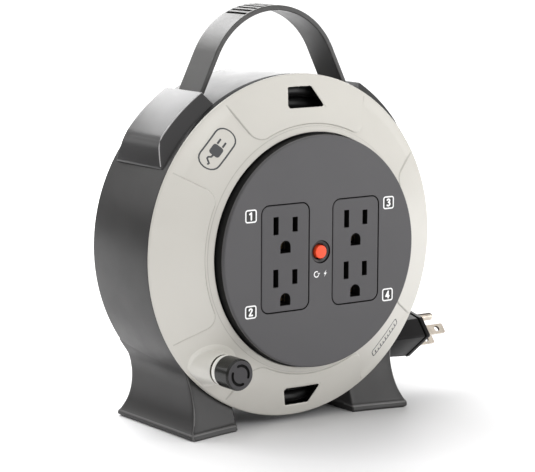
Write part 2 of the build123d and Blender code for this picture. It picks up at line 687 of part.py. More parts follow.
# ---- overload breaker ----
def make_breaker_bezel():
    collar_r = BUTTON_R + BUTTON_CLEARANCE
    return turned([(collar_r, 0.9), (BEZEL_R - 0.9, 0.5), (BEZEL_R, 0.9), (BEZEL_R, 2.6),
                   (BEZEL_R - 0.5, 2.7),
                   (BEZEL_R - 0.5, 9.0), (collar_r, 9.0)])


def make_breaker_body():
    body = box_between((-6.9, 9.0, -17), (6.9, 32, 17))
    body -= rod(0, 0, BUTTON_R + BUTTON_CLEARANCE, 8, 20)
    return fillet(body.edges().filter_by(Axis.Y).filter_by(lambda e: e.length > 20), 1.2)


def make_reset_button():
    cap_front = -BUTTON_PROUD
    return turned([(0, cap_front), (BUTTON_R - 1.2, cap_front + 0.08), (BUTTON_R - 0.3, cap_front + 0.5),
                   (BUTTON_R, cap_front + 1.2), (BUTTON_R, 15.0), (2.0, 15.0), (2.0, 18.0), (0, 18.0)])


def make_breaker_terminals():
    return [box_between((-3.2, 32.0, z - 0.5), (3.2, 38, z + 0.5)) for z in (-10, 10)]


# ---- winding knob ----
def make_knob_collar():
    x, z = knob_axis()
    bore = KNOB_SHAFT_R + SHAFT_CLEARANCE
    sleeve_r = KNOB_SHAFT_R + 1.85
    return turned_at(x, z, [(bore, KNOB_BACK + 0.4), (7.9, KNOB_BACK + 0.4), (8.2, KNOB_BACK + 0.8),
                            (8.2, 5.1), (7.5, 5.3), (7.5, 6.0), (8.2, 6.2), (8.2, PAD_TOP),
                            (sleeve_r, PAD_TOP), (sleeve_r, PAD_TOP + 3.6), (bore, PAD_TOP + 3.6)])


def make_crank_knob():
    x, z = knob_axis()
    edge = 0.9
    knob = turned_at(x, z, [(0, KNOB_FRONT), (KNOB_R - 1.9, KNOB_FRONT), (KNOB_R - 1.0, KNOB_FRONT + 0.3),
                            (KNOB_R, KNOB_FRONT + 1.6), (KNOB_R, KNOB_BACK - edge),
                            (KNOB_R - edge, KNOB_BACK),
                            (KNOB_SHAFT_R, KNOB_BACK), (KNOB_SHAFT_R, PAD_TOP + 6.2), (0, PAD_TOP + 6.2)])
    knob += rod(x, z, KNOB_SHAFT_R - 0.8, PAD_TOP + 6.0, PAD_TOP + 8.6)
    for middle in (45, 225):
        outer, inner = 5.8, 4.6
        sweep = 62
        arc = Circle(outer) - Circle(inner)
        wedge = polygon([(0, 0), polar(9, middle - sweep), polar(9, middle), polar(9, middle + sweep)])
        knob -= Pos(x, 0, z) * front_view(arc & wedge, KNOB_FRONT - 1, KNOB_FRONT + 0.9)
    return knob


def make_knob_clip():
    x, z = knob_axis()
    return tube(x, z, 5.6, KNOB_SHAFT_R - 0.8, PAD_TOP + 6.2, PAD_TOP + 7.2)


# ---- cord, guide and plug ----
LEAD_ROUTE = [(2.0, -87.3), (22.0, -84.6), (44.0, -75.0), (62.0, EXIT_Z), (RELIEF_BACK_X, EXIT_Z)]


def lead_path():
    """Straight runs and tangent arcs along the lead inside the housing."""
    points = [Vector(x, MID_DEPTH, z) for x, z in LEAD_ROUTE]
    radii = []
    for before, corner, after in zip(points, points[1:], points[2:]):
        run_in, run_out = corner - before, after - corner
        turn = run_in.get_angle(run_out)
        radii.append(0.45 * min(run_in.length, run_out.length) / math.tan(math.radians(turn) / 2))
    print("lead bend radii:", [round(r, 1) for r in radii])
    return FilletPolyline(*points, radius=radii)


def make_cord_lead():
    path = lead_path()
    section = Plane(origin=path @ 0, z_dir=path % 0) * Circle(CORD_R)
    lead = sweep(section, path=path)
    print("lead length:", round(path.length, 1), "volume ratio:",
          round(lead.volume / (math.pi * CORD_R ** 2 * path.length), 4))
    return lead


WINDING_LAYERS = [(65.3, 73.3, 20.5, 74.4), (73.3, 80.9, 21.5, 74.4), (80.9, 88.7, 26.0, 34.0)]


def make_cord_winding():
    coil = None
    for r_in, r_out, front, back in WINDING_LAYERS:
        layer = tube(0, 0, r_out, r_in, front, back)
        coil = layer if coil is None else coil + layer
    return coil


def along_x(points):
    """Solid of revolution about the cord's axis at the exit, from (x, radius) points."""
    spun = revolve(polygon([(x, r, 0) for x, r in points]), Axis.X, 360)
    return Pos(0, MID_DEPTH, EXIT_Z) * spun


def make_cord_guide():
    mouth = GUIDE_BORE + 1.6
    return along_x([(62.0, GUIDE_BORE), (62.0, GUIDE_R), (GUIDE_END_X - 1.6, GUIDE_R),
                    (GUIDE_END_X - 1.6, GUIDE_R + 1.5), (GUIDE_END_X, GUIDE_R + 1.1), (GUIDE_END_X, mouth),
                    (GUIDE_END_X - 2.4, GUIDE_BORE)])


def make_plug_relief():
    """Tapered, ribbed sleeve between the cord and the plug's body."""
    core = [(RELIEF_BACK_X, 0), (RELIEF_BACK_X, CORD_R + 0.5)]
    ribs = 4
    start, end = RELIEF_BACK_X + 1.5, PLUG_BACK_X - 1.0
    for i in range(ribs):
        rib_radius = CORD_R + 0.9 + 0.25 * i
        x = start + (end - start) * i / ribs
        width = (end - start) / ribs
        core += [(x, rib_radius), (x + width * 0.62, rib_radius), (x + width * 0.62, rib_radius - 0.7),
                 (x + width * 0.98, rib_radius - 0.7)]
    core += [(end, 6.1), (PLUG_BACK_X, 6.4), (PLUG_BACK_X, 0)]
    return along_x(core)


def plug_plane(x):
    """Plane across the plug: its x is from one blade to the other, its y towards the ground pin."""
    roll = math.radians(PLUG_ROLL)
    across = (0, math.cos(roll), -math.sin(roll))
    return Plane(origin=(x, MID_DEPTH, EXIT_Z), x_dir=across, z_dir=(1, 0, 0))


BLADE_LINE = -3.6           # blades below the plug's middle
PLUG_HALF_WIDTH, PLUG_TOP_HALF = 13.0, 4.8
PLUG_LOW, PLUG_SHOULDER, PLUG_HIGH = -10.4, 2.4, 12.8
PLUG_RIM = 2.8              # thickness of the collar round the plug's face
BLADE_HOLE = 5.3            # from the blade's tip to its hole


def plug_section(scale):
    half, top_half = PLUG_HALF_WIDTH * scale, PLUG_TOP_HALF * scale
    points = [(-half, PLUG_LOW * scale), (half, PLUG_LOW * scale), (half, PLUG_SHOULDER * scale),
              (top_half, PLUG_HIGH * scale), (-top_half, PLUG_HIGH * scale), (-half, PLUG_SHOULDER * scale)]
    face = polygon(points)
    return fillet(face.vertices(), 1.6 * scale)


def make_plug_body():
    rim_back = PLUG_FACE_X - PLUG_RIM
    rim = extrude(plug_plane(rim_back) * plug_section(1.0), PLUG_RIM)
    neck = extrude(plug_plane(rim_back - 0.9) * plug_section(0.92), 1.2)
    grip = loft([plug_plane(PLUG_BACK_X) * plug_section(0.70),
                 plug_plane(PLUG_BACK_X + 6) * plug_section(0.88),
                 plug_plane(rim_back - 0.8) * plug_section(0.975)], ruled=True)
    body = rim + neck + grip
    for offset in (-BLADE_SPACING / 2, BLADE_SPACING / 2):
        blade_seat = plug_plane(PLUG_FACE_X - 8) * (Pos(offset, BLADE_LINE) * Rectangle(1.7, 6.55))
        body -= extrude(blade_seat, 10)
    pin_seat = plug_plane(PLUG_FACE_X - 8) * (Pos(0, BLADE_LINE + GROUND_DROP) * Circle(GROUND_PIN_R + 0.1))
    return body - extrude(pin_seat, 10)


def make_plug_blade(offset):
    root = 7.8
    length = BLADE_LENGTH + root
    outline = RectangleRounded(length, 6.35, 1.0)
    blade = extrude(outline, 0.76, both=True)
    hole = Pos(length / 2 - BLADE_HOLE, 0, 0) * Cylinder(1.7, 4)
    blade -= hole
    plane = plug_plane(PLUG_FACE_X)
    place = Plane(origin=plane.from_local_coords(Vector(offset, BLADE_LINE, length / 2 - root)),
                  x_dir=(1, 0, 0), z_dir=plane.x_dir)
    return place.location * blade


def make_plug_ground_pin():
    root = 7.8
    plane = plug_plane(PLUG_FACE_X - root)
    start = plane.from_local_coords(Vector(0, BLADE_LINE + GROUND_DROP, 0))
    length = GROUND_PIN_LENGTH + root
    profile = [(0, 0), (0, GROUND_PIN_R), (length - 1.6, GROUND_PIN_R), (length - 0.5, GROUND_PIN_R * 0.72),
               (length, GROUND_PIN_R * 0.3), (length, 0)]
    pin = revolve(polygon([(x, r, 0) for x, r in profile]), Axis.X, 360)
    return Pos(start.X, start.Y, start.Z) * pin


# ---- wiring inside the drum ----
TAIL_DEPTH = 66.5           # the cord comes through the barrel here, and runs up to the clamp
TAIL_TOP, TAIL_LOW = -43.0, -65.0
WIRE_GAP = 0.8              # the bared wires end just above the jacket
CLAMP_LOW, CLAMP_HIGH = -58.0, -48.0
CLAMP_SCREW_X = 9.5


def make_cord_tail():
    """Cord from the winding's first turn, through the barrel's slot, to its stripped end."""
    return Pos(0, TAIL_DEPTH, (TAIL_TOP + TAIL_LOW) / 2) * Cylinder(CORD_R, TAIL_TOP - TAIL_LOW)


def clamp_groove():
    return Pos(0, TAIL_DEPTH, -55) * Cylinder(CORD_R + 0.05, 40)


def clamp_screw_rod(x, radius, front, back):
    return rod(x, (CLAMP_LOW + CLAMP_HIGH) / 2, radius, front, back)


def make_cord_clamp():
    saddle = box_between((-13, TAIL_DEPTH - 6.5, CLAMP_LOW),
                         (13, TAIL_DEPTH - 0.3, CLAMP_HIGH)) - clamp_groove()
    for x in (-CLAMP_SCREW_X, CLAMP_SCREW_X):
        saddle -= clamp_screw_rod(x, 1.7, TAIL_DEPTH - 8, TAIL_DEPTH + 1)
    return saddle


def make_clamp_screws():
    seat = TAIL_DEPTH - 6.5
    return [clamp_screw_rod(x, 3.0, seat - 1.6, seat) + clamp_screw_rod(x, 1.4, seat, seat + 10.5)
            for x in (-CLAMP_SCREW_X, CLAMP_SCREW_X)]


def make_clamp_bridge():
    """Seat for the clamp, moulded with the barrel."""
    bridge = box_between((-13, TAIL_DEPTH, CLAMP_LOW), (13, FLANGE_FRONT - 0.2, CLAMP_HIGH))
    for x in (-CLAMP_SCREW_X, CLAMP_SCREW_X):
        bridge += box_between((x - 3.5, TAIL_DEPTH + 5.0, -BARREL_R + 1.5),
                              (x + 3.5, FLANGE_FRONT - 0.2, CLAMP_HIGH))
    bridge -= clamp_groove()
    for x in (-CLAMP_SCREW_X, CLAMP_SCREW_X):
        bridge -= clamp_screw_rod(x, 1.45, TAIL_DEPTH - 1, TAIL_DEPTH + 5)
    return bridge


def wire(points, bend):
    path = FilletPolyline(*[Vector(*p) for p in points], radius=bend)
    section = Plane(origin=path @ 0, z_dir=path % 0) * Circle(1.3)
    return sweep(section, path=path)


def make_ground_wire():
    half_tail = CARRIER_COVER_BACK + 2.7
    right = wire([(OUTLET_X, half_tail, -25.5), (OUTLET_X, half_tail + 8, -25.5), (14, half_tail + 14, -32),
                  (4, 52, -36), (2.2, 65, -38), (2.2, TAIL_DEPTH, TAIL_TOP + WIRE_GAP)], 2)
    left = wire([(-OUTLET_X, half_tail, -25.5), (-OUTLET_X, half_tail + 8, -25.5),
                 (-12, half_tail + 14, -34),
                 (-6, 52, -38.5), (-4.4, 60, -41)], 3)
    return [right, left]


def make_neutral_wire():
    tail = CARRIER_COVER_BACK + 2.7
    half = BLADE_SPACING / 2
    right = wire([(OUTLET_X - half, tail, -25.5), (OUTLET_X - half, tail + 5, -25.5), (9, tail + 10, -29),
                  (-1, 50, -31), (-1.2, 65, -33.5), (-1.2, TAIL_DEPTH, TAIL_TOP + WIRE_GAP)], 2)
    left = wire([(-OUTLET_X - half, tail, -25.5), (-OUTLET_X - half, tail + 9, -25.5),
                 (-24, tail + 15, -38),
                 (-13, 50, -48), (-7, 60, -46)], 4)
    return [right, left]


def make_line_wire():
    tail = CARRIER_COVER_BACK + 2.7
    half = BLADE_SPACING / 2
    right = wire([(OUTLET_X + half, tail, -25.5), (OUTLET_X + half, tail + 9, -25.5), (20, tail + 16, -8),
                  (5, 44, 6), (0, 39.5, 10)], 3)
    left = wire([(-OUTLET_X + half, tail, -25.5), (-OUTLET_X + half, tail + 9, -25.5), (-10, tail + 16, -4),
                 (-4, 45, 10), (-1, 40, 13.5)], 3)
    feed = wire([(0, 39.5, -10), (0, 46, -14), (6, 52, -28), (8, 58, -40), (7, 62, -43)], 3)
    return [right, left, feed]


# ---- assemble and write ----
def build():
    housing = whole_housing()
    shoulder = make_shoulder()
    half = BLADE_SPACING / 2
    nodes = {
        "housing_shell": make_housing_shell(housing),
        "back_cover": make_back_cover(housing),
        "back_cover_screws": make_back_cover_screws(),
        "shoulder_right": shoulder,
        "shoulder_left": mirrored(shoulder),
        "shoulder_screws": make_shoulder_screws(),
        "carry_handle": make_handle(),
        "cord_guide": make_cord_guide(),
        "axle_washer": make_axle_washer(),
        "axle_screw": make_axle_screw(),
        "front_flange": make_front_flange(),
        "drum_core": make_drum_core() + make_clamp_bridge(),
        "rear_flange": make_rear_flange(),
        "flange_screws": make_flange_screws(),
        "bearing_bush": make_bearing_bush(),
        "outlet_panel": make_outlet_panel(),
        "panel_screws": make_panel_screws(),
        "carrier_screws": make_carrier_screws(),
        "breaker_bezel": make_breaker_bezel(),
        "breaker_body": make_breaker_body(),
        "breaker_terminals": make_breaker_terminals(),
        "reset_button": make_reset_button(),
        "knob_collar": make_knob_collar(),
        "crank_knob": make_crank_knob(),
        "knob_clip": make_knob_clip(),
        "cord_clamp": make_cord_clamp(),
        "cord_clamp_screws": make_clamp_screws(),
        "ground_wire": make_ground_wire(),
        "neutral_wire": make_neutral_wire(),
        "line_wire": make_line_wire(),
        "cord_winding": make_cord_winding(),
        "cord_tail": make_cord_tail(),
        "cord_lead": make_cord_lead(),
        "plug_strain_relief": make_plug_relief(),
        "plug_body": make_plug_body(),
        "plug_blade_neutral": make_plug_blade(-half),
        "plug_blade_line": make_plug_blade(half),
        "plug_ground_pin": make_plug_ground_pin(),
    }
    for side, x in (("left", -OUTLET_X), ("right", OUTLET_X)):
        nodes["outlet_insert_" + side] = make_outlet_insert(x)
        nodes["contact_carrier_" + side] = make_contact_carrier(x)
        nodes["carrier_cover_" + side] = make_carrier_cover(x)
        nodes["neutral_strip_" + side] = make_contact_strip(x, -half, 6.4, 0, 2.0)
        nodes["line_strip_" + side] = make_contact_strip(x, half, 6.4, 0, 2.0)
        nodes["ground_strip_" + side] = make_contact_strip(x, 0, 4.4, GROUND_DROP, 4.8)
    return nodes


def write(nodes):
    os.makedirs("parts", exist_ok=True)
    for name, shape in nodes.items():
        solids = shape if isinstance(shape, list) else shape.solids()
        placed = [PLACE * solid for solid in solids]
        export_step(placed[0] if len(placed) == 1 else Compound(children=placed), f"parts/{name}.step")


write(build())
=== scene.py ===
import json
import math

import bmesh
import bpy
from mathutils import Matrix, Vector


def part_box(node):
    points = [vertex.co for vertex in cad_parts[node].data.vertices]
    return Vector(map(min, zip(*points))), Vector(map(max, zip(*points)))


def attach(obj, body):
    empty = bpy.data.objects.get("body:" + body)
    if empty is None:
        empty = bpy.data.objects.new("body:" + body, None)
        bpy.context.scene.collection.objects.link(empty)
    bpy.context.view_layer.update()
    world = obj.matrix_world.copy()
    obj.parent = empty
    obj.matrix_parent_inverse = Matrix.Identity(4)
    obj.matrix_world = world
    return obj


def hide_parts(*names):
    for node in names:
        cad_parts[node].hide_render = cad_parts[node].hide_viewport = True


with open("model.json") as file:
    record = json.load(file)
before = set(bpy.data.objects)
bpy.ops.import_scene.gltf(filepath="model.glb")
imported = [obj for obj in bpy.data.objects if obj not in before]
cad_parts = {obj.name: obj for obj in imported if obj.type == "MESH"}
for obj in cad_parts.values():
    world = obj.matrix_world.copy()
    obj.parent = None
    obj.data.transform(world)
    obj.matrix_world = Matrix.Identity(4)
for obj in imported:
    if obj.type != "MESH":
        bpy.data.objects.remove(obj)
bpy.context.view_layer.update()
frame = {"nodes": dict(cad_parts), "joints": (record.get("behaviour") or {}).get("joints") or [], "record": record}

# Cassette extension cord reel. Shapes are worked out in the drum's own frame, in millimetres:
# X right, Y back from the outlet panel's face, Z up from the drum's axis.
MM = 0.001
SPIN_AXIS = next(j for j in frame["joints"] if j["name"] == "drum_spin")["pos_m"]
FACE_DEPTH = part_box("outlet_panel")[0].y

# ---- sizes, as in the CAD model ----
MID_DEPTH = 54.5
BAND_FRONT, BAND_BACK = 26.4, 84.4
BAND_R_FRONT, BAND_R_BACK, BAND_R_INSIDE = 95.4, 94.6, 92.5
SPLIT_DEPTH = 82.9
FOOT_INNER_X, FOOT_TOP_R, FLOOR_Z = 40.3, 94.0, -99.6      # the feet run up to a radius inside the band
FOOT_FRONT_R = 96.7
SHOULDER_R = 102.6
SHOULDER_END, SHOULDER_KINK, SHOULDER_FOOT = 58.5, 37.0, 30.0
SHOULDER_BASE, SHOULDER_TOP, SHOULDER_LIP = (31.2, 77.8), (36.9, 72.1), 0.7
HANDLE_WIDTH, HANDLE_THICK, HANDLE_TOP = 22.0, 2.9, 132.3
HANDLE_BEND_R, HANDLE_BEND_HALF, HANDLE_LEG = 44.5, 64.0, 24.5
GROOVES, GROOVE_PITCH = 11, 5.0
RING_R_IN, RING_R_OUT = 65.1, 95.8
RING_FACE_IN, RING_FACE_OUT = 7.05, 24.7
RING_THICK, RING_BACK = 2.8, 25.7
LAND_R, LAND_HALF_ANGLE, LAND_CORNER, RECESS = 69.6, 30.0, 7.0, 0.8
PANEL_R, PANEL_THICK, PANEL_BACK = 64.15, 2.8, 10.0
OUTLET_X, OUTLET_ROWS = 23.85, (16.8, -11.95)
INSERT_SIZE, INSERT_MIDDLE, INSERT_CORNER, INSERT_BACK = (31.2, 58.3), -1.25, 4.5, 5.2
KNOB_R, KNOB_FRONT, KNOB_BACK, PAD_TOP = 8.7, -9.5, 3.0, 7.4
KNOB_X = KNOB_Z = -84.6 * math.sqrt(0.5)
EXIT_Z = -66.0
CORD_R = 4.0
PLUG_ROLL = math.radians(39.0)
PLUG_FACE_X, PLUG_BACK_X, RELIEF_BACK_X = 110.1, 82.0, 72.0


def at(x, y, z):
    """Point of the row frame, in metres, from the drum's frame in millimetres."""
    return Vector((x * MM, FACE_DEPTH + y * MM, SPIN_AXIS[2] + z * MM))


def drum_point(place):
    """The reverse of at()."""
    return place[0] / MM, (place[1] - FACE_DEPTH) / MM, (place[2] - SPIN_AXIS[2]) / MM


# ---- mesh helpers ----
WELD, FLAT_ANGLE = 2e-6, math.radians(0.6)


def polar(radius, degrees):
    return radius * math.cos(math.radians(degrees)), radius * math.sin(math.radians(degrees))


def to_polar(x, z):
    return math.hypot(x, z), math.degrees(math.atan2(z, x))


def smooth(t):
    t = min(1.0, max(0.0, t))
    return t * t * (3 - 2 * t)


def rounded(points, radii, steps=4, closed=True):
    """Outline with its corners rounded by arcs; radii is one radius or one for each corner."""
    count = len(points)
    corners = [Vector(p) for p in points]
    if not isinstance(radii, (list, tuple)):
        radii = [radii] * count
    line = []
    for i, (corner, radius) in enumerate(zip(corners, radii)):
        if radius <= 0 or (not closed and i in (0, count - 1)):
            line.append(tuple(corner))
            continue
        back, forth = corners[i - 1] - corner, corners[(i + 1) % count] - corner
        half = back.angle(forth) / 2
        cut = min(radius / math.tan(half), back.length * 0.48, forth.length * 0.48)
        back.normalize()
        forth.normalize()
        centre = corner + (back + forth).normalized() * (cut / math.cos(half))
        start, end = corner + back * cut - centre, corner + forth * cut - centre
        line += [tuple(centre + start.slerp(end, k / steps) * start.length) for k in range(steps + 1)]
    return line


def rounded_box(width, height, radius, steps=6):
    w, h = width / 2, height / 2
    return rounded([(-w, -h), (w, -h), (w, h), (-w, h)], radius, steps)


def moved(outline, x, z):
    return [(px + x, pz + z) for px, pz in outline]


def inset(outline, distance):
    """Outline moved inwards along its corners' normals; the outline runs counter-clockwise."""
    count = len(outline)
    result = []
    for i in range(count):
        a, b, c = (Vector(outline[(i + k) % count]) for k in (-1, 0, 1))
        n1, n2 = (b - a).normalized(), (c - b).normalized()
        normal = Vector((-n1.y - n2.y, n1.x + n2.x))
        normal /= max(normal.length_squared / 2, 0.2)
        result.append(tuple(b + normal * distance))
    return result


def lofted(rings, capped=True, closed=False):
    """Vertices and faces of a skin through rings of equally many points."""
    size = len(rings[0])
    verts = [p for ring in rings for p in ring]
    faces = []
    last = len(rings) if closed else len(rings) - 1
    for i in range(last):
        j = (i + 1) % len(rings)
        for k in range(size):
            m = (k + 1) % size
            faces.append((i * size + k, i * size + m, j * size + m, j * size + k))
    if capped and not closed:
        faces.append(tuple(range(size - 1, -1, -1)))
        faces.append(tuple(range((len(rings) - 1) * size, len(rings) * size)))
    return verts, faces


def turned(profile, x=0.0, z=0.0, steps=160):
    """A closed (radius, depth) outline turned about an axis along Y through (x, z)."""
    rings = []
    for i in range(steps):
        c, s = math.cos(math.tau * i / steps), math.sin(math.tau * i / steps)
        rings.append([(x + r * c, y, z + r * s) for r, y in profile])
    return lofted(rings, closed=True)


def prism(outline, front, back, round_front=0.0, round_back=0.0, steps=3):
    """Front-view outline made solid between two depths, with its front and back edges rounded."""
    quarter = [polar(1.0, 90 * k / steps) for k in range(steps + 1)]
    levels = [(0, front)]
    if round_front:
        levels = [(round_front * (1 - s), front + round_front * (1 - c)) for c, s in quarter]
    if round_back:
        levels += [(round_back * (1 - c), back - round_back * (1 - s)) for c, s in quarter]
    else:
        levels.append((0, back))
    return lofted([[(px, depth, pz) for px, pz in inset(outline, gap)] for gap, depth in levels])


def add(name, data):
    obj = bpy.data.objects.new(name, data)
    bpy.context.scene.collection.objects.link(obj)
    return obj


def build(name, geometry, body=None, material=None, replaces=(), sharp=40):
    """Makes an object from vertices and faces in the drum's frame, welded and with clean normals."""
    verts, faces = geometry
    mesh = bpy.data.meshes.new(name)
    mesh.from_pydata([tuple(at(*v)) for v in verts], [], faces)
    clean(mesh)
    shade(mesh, sharp)
    return dress(add(name, mesh), body, material, replaces)


def clean(mesh):
    bm = bmesh.new()
    bm.from_mesh(mesh)
    bmesh.ops.remove_doubles(bm, verts=bm.verts, dist=WELD)
    bmesh.ops.dissolve_degenerate(bm, edges=bm.edges, dist=1e-7)
    bmesh.ops.recalc_face_normals(bm, faces=bm.faces)
    bm.to_mesh(mesh)
    bm.free()


def weighted(obj):
    """Large faces keep flat shading and only the rounded edges between them turn."""
    normals = obj.modifiers.new("normals", "WEIGHTED_NORMAL")
    normals.weight, normals.keep_sharp = 100, True
    return obj


def shade(mesh, sharp):
    mesh.shade_smooth()
    mesh.set_sharp_from_angle(angle=math.radians(sharp))


def dress(obj, body, material, replaces=()):
    if material:
        obj.data.materials.clear()
        obj.data.materials.append(material)
    if replaces:
        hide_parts(*replaces)
    if body:
        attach(obj, body)
    return obj


def paint(obj, material, wanted):
    """Gives a second material to the faces whose middle (x, y, z) in the drum's frame is wanted."""
    obj.data.materials.append(material)
    for face in obj.data.polygons:
        if wanted(*drum_point(face.center)):
            face.material_index = len(obj.data.materials) - 1
    return obj


def evaluated(obj):
    graph = bpy.context.evaluated_depsgraph_get()
    return bpy.data.meshes.new_from_object(obj.evaluated_get(graph))


def carve(obj, cutters, operation="DIFFERENCE"):
    """Cuts other objects out of obj, or joins them to it, and removes them."""
    for cutter in cutters:
        cut = obj.modifiers.new("cut", "BOOLEAN")
        cut.operation, cut.solver, cut.object = operation, "EXACT", cutter
    bpy.context.view_layer.update()
    old = obj.data
    result = evaluated(obj)
    obj.modifiers.clear()
    obj.data = result
    bpy.data.meshes.remove(old)
    for cutter in cutters:
        bpy.data.objects.remove(cutter)
    return obj


def soften(obj, width, steps=2, above=35, sharp=40):
    """Rounds every edge sharper than an angle."""
    bm = bmesh.new()
    bm.from_mesh(obj.data)
    bmesh.ops.remove_doubles(bm, verts=bm.verts, dist=WELD)
    bmesh.ops.dissolve_limit(bm, angle_limit=FLAT_ANGLE, verts=bm.verts, edges=bm.edges,
                             delimit={"MATERIAL"})
    edges = [e for e in bm.edges if len(e.link_faces) == 2 and e.calc_face_angle(0) > math.radians(above)]
    bmesh.ops.bevel(bm, geom=edges, offset=width * MM, offset_type="OFFSET", segments=steps, profile=0.5,
                    affect="EDGES", clamp_overlap=True)
    bmesh.ops.recalc_face_normals(bm, faces=bm.faces)
    bm.to_mesh(obj.data)
    bm.free()
    shade(obj.data, sharp)
    return weighted(obj)


def from_node(node, name, body, material, width=0.3, steps=2, above=35):
    """A CAD node's own shape with its edges rounded."""
    obj = add(name, frame["nodes"][node].data.copy())
    soften(obj, width, steps, above)
    return dress(obj, body, material, [node])


# ---- materials ----
def node_tree(name):
    material = bpy.data.materials.new(name)
    material.use_nodes = True
    tree = material.node_tree
    shader = tree.nodes["Principled BSDF"]
    place = tree.nodes.new("ShaderNodeTexCoord")
    return material, tree, shader, place.outputs["Object"]


def noise(tree, place, scale, detail=3.0, rough=0.55):
    texture = tree.nodes.new("ShaderNodeTexNoise")
    texture.inputs["Scale"].default_value = scale
    texture.inputs["Detail"].default_value = detail
    texture.inputs["Roughness"].default_value = rough
    tree.links.new(place, texture.inputs["Vector"])
    return texture.outputs["Fac"]


def span(tree, factor, low, high, start=0.3, end=0.7):
    """Maps a noise factor to a range of values."""
    mapped = tree.nodes.new("ShaderNodeMapRange")
    for socket, value in zip(("From Min", "From Max", "To Min", "To Max"), (start, end, low, high)):
        mapped.inputs[socket].default_value = value
    tree.links.new(factor, mapped.inputs["Value"])
    return mapped.outputs["Result"]


def shades(tree, factor, colours, start=0.35, end=0.65):
    """Mixes two colours by a noise factor."""
    ramp = tree.nodes.new("ShaderNodeValToRGB")
    ramp.color_ramp.elements[0].position = start
    ramp.color_ramp.elements[1].position = end
    for element, colour in zip(ramp.color_ramp.elements, colours):
        element.color = (*colour, 1.0)
    tree.links.new(factor, ramp.inputs["Fac"])
    return ramp.outputs["Color"]


def bump(tree, shader, height, depth, strength=1.0, under=None):
    relief = tree.nodes.new("ShaderNodeBump")
    relief.inputs["Strength"].default_value = strength
    relief.inputs["Distance"].default_value = depth
    tree.links.new(height, relief.inputs["Height"])
    if under:
        tree.links.new(under, relief.inputs["Normal"])
    tree.links.new(relief.outputs["Normal"], shader.inputs["Normal"])
    return relief.outputs["Normal"]


def plastic(name, colour, roughness, grain=2600, grain_depth=0.000012, spread=0.06, specular=0.5):
    """Moulded plastic: fine spark-eroded grain, slow waves and colour drift, and uneven gloss."""
    material, tree, shader, place = node_tree(name)
    low = [c * (1 - spread) for c in colour]
    high = [min(1.0, c * (1 + spread)) for c in colour]
    tree.links.new(shades(tree, noise(tree, place, 28, 4), (low, high)), shader.inputs["Base Color"])
    uneven = span(tree, noise(tree, place, 55, 5), roughness * 0.9, roughness * 1.12)
    tree.links.new(uneven, shader.inputs["Roughness"])
    waves = bump(tree, shader, noise(tree, place, 60, 1), 0.00012, 0.25)
    bump(tree, shader, noise(tree, place, grain, 2), grain_depth, 0.8, waves)
    shader.inputs["Specular IOR Level"].default_value = specular
    return material


def metal(name, colour, roughness, brushed=(1, 1, 1), spread=0.08):
    """Plated or stamped metal with drawn lines and slight tarnish."""
    material, tree, shader, place = node_tree(name)
    stretch = tree.nodes.new("ShaderNodeMapping")
    stretch.inputs["Scale"].default_value = brushed
    tree.links.new(place, stretch.inputs["Vector"])
    low = [c * (1 - spread) for c in colour]
    tree.links.new(shades(tree, noise(tree, place, 160, 4), (low, colour)), shader.inputs["Base Color"])
    lines = noise(tree, stretch.outputs["Vector"], 900, 3)
    tree.links.new(span(tree, lines, roughness * 0.75, roughness * 1.3), shader.inputs["Roughness"])
    bump(tree, shader, lines, 0.000008, 0.6)
    shader.inputs["Metallic"].default_value = 1.0
    return material


HOUSING = plastic("housing_plastic", (0.029, 0.028, 0.028), 0.36, specular=0.31)
# lighter grey painted highlight for the feet's plinth edge and front corner
LIP = plastic("painted_soft_highlight", (0.085, 0.083, 0.083), 0.32, specular=0.5)
SHOULDER = plastic("shoulder_plastic", (0.026, 0.025, 0.026), 0.31, specular=0.45)
# light grey painted highlight for the shoulders' outer front edges
EDGE = plastic("painted_edge_highlight", (0.40, 0.395, 0.40), 0.28)
STRAP = plastic("strap_plastic", (0.050, 0.049, 0.048), 0.38, specular=0.54)
PALE = {"grain_depth": 0.000006, "spread": 0.012}
RING = plastic("ring_plastic", (0.590, 0.573, 0.530), 0.36, **PALE)
# darker cream painted shade along the lands' borders and the ring's inner step
RING_BORDER_SHADE = plastic("ring_border_shade", (0.47, 0.455, 0.42), 0.4, **PALE)
# the ring's plastic, painted lighter on the knob boss to stand for the light on its wall
BOSS = plastic("boss_painted_light", (0.68, 0.665, 0.62), 0.34, **PALE)
PANEL = plastic("panel_plastic", (0.075, 0.073, 0.077), 0.46, spread=0.03, specular=0.4)
INSERT = plastic("insert_plastic", (0.069, 0.067, 0.071), 0.44, spread=0.03, specular=0.4)
KNOB = plastic("knob_plastic", (0.011, 0.0115, 0.010), 0.24, specular=0.36)
# lighter copy of the knob's plastic for its front face, as painted light
KNOB_FACE = plastic("knob_face_painted_light", (0.046, 0.044, 0.047), 0.45, specular=0.3)
COLLAR = plastic("collar_plastic", (0.88, 0.87, 0.83), 0.3, grain_depth=0.000004, spread=0.01)
GROOVE = plastic("groove_shadow", (0.045, 0.043, 0.030), 0.6, specular=0.15)
BEZEL = plastic("bezel_plastic", (0.018, 0.017, 0.018), 0.42)
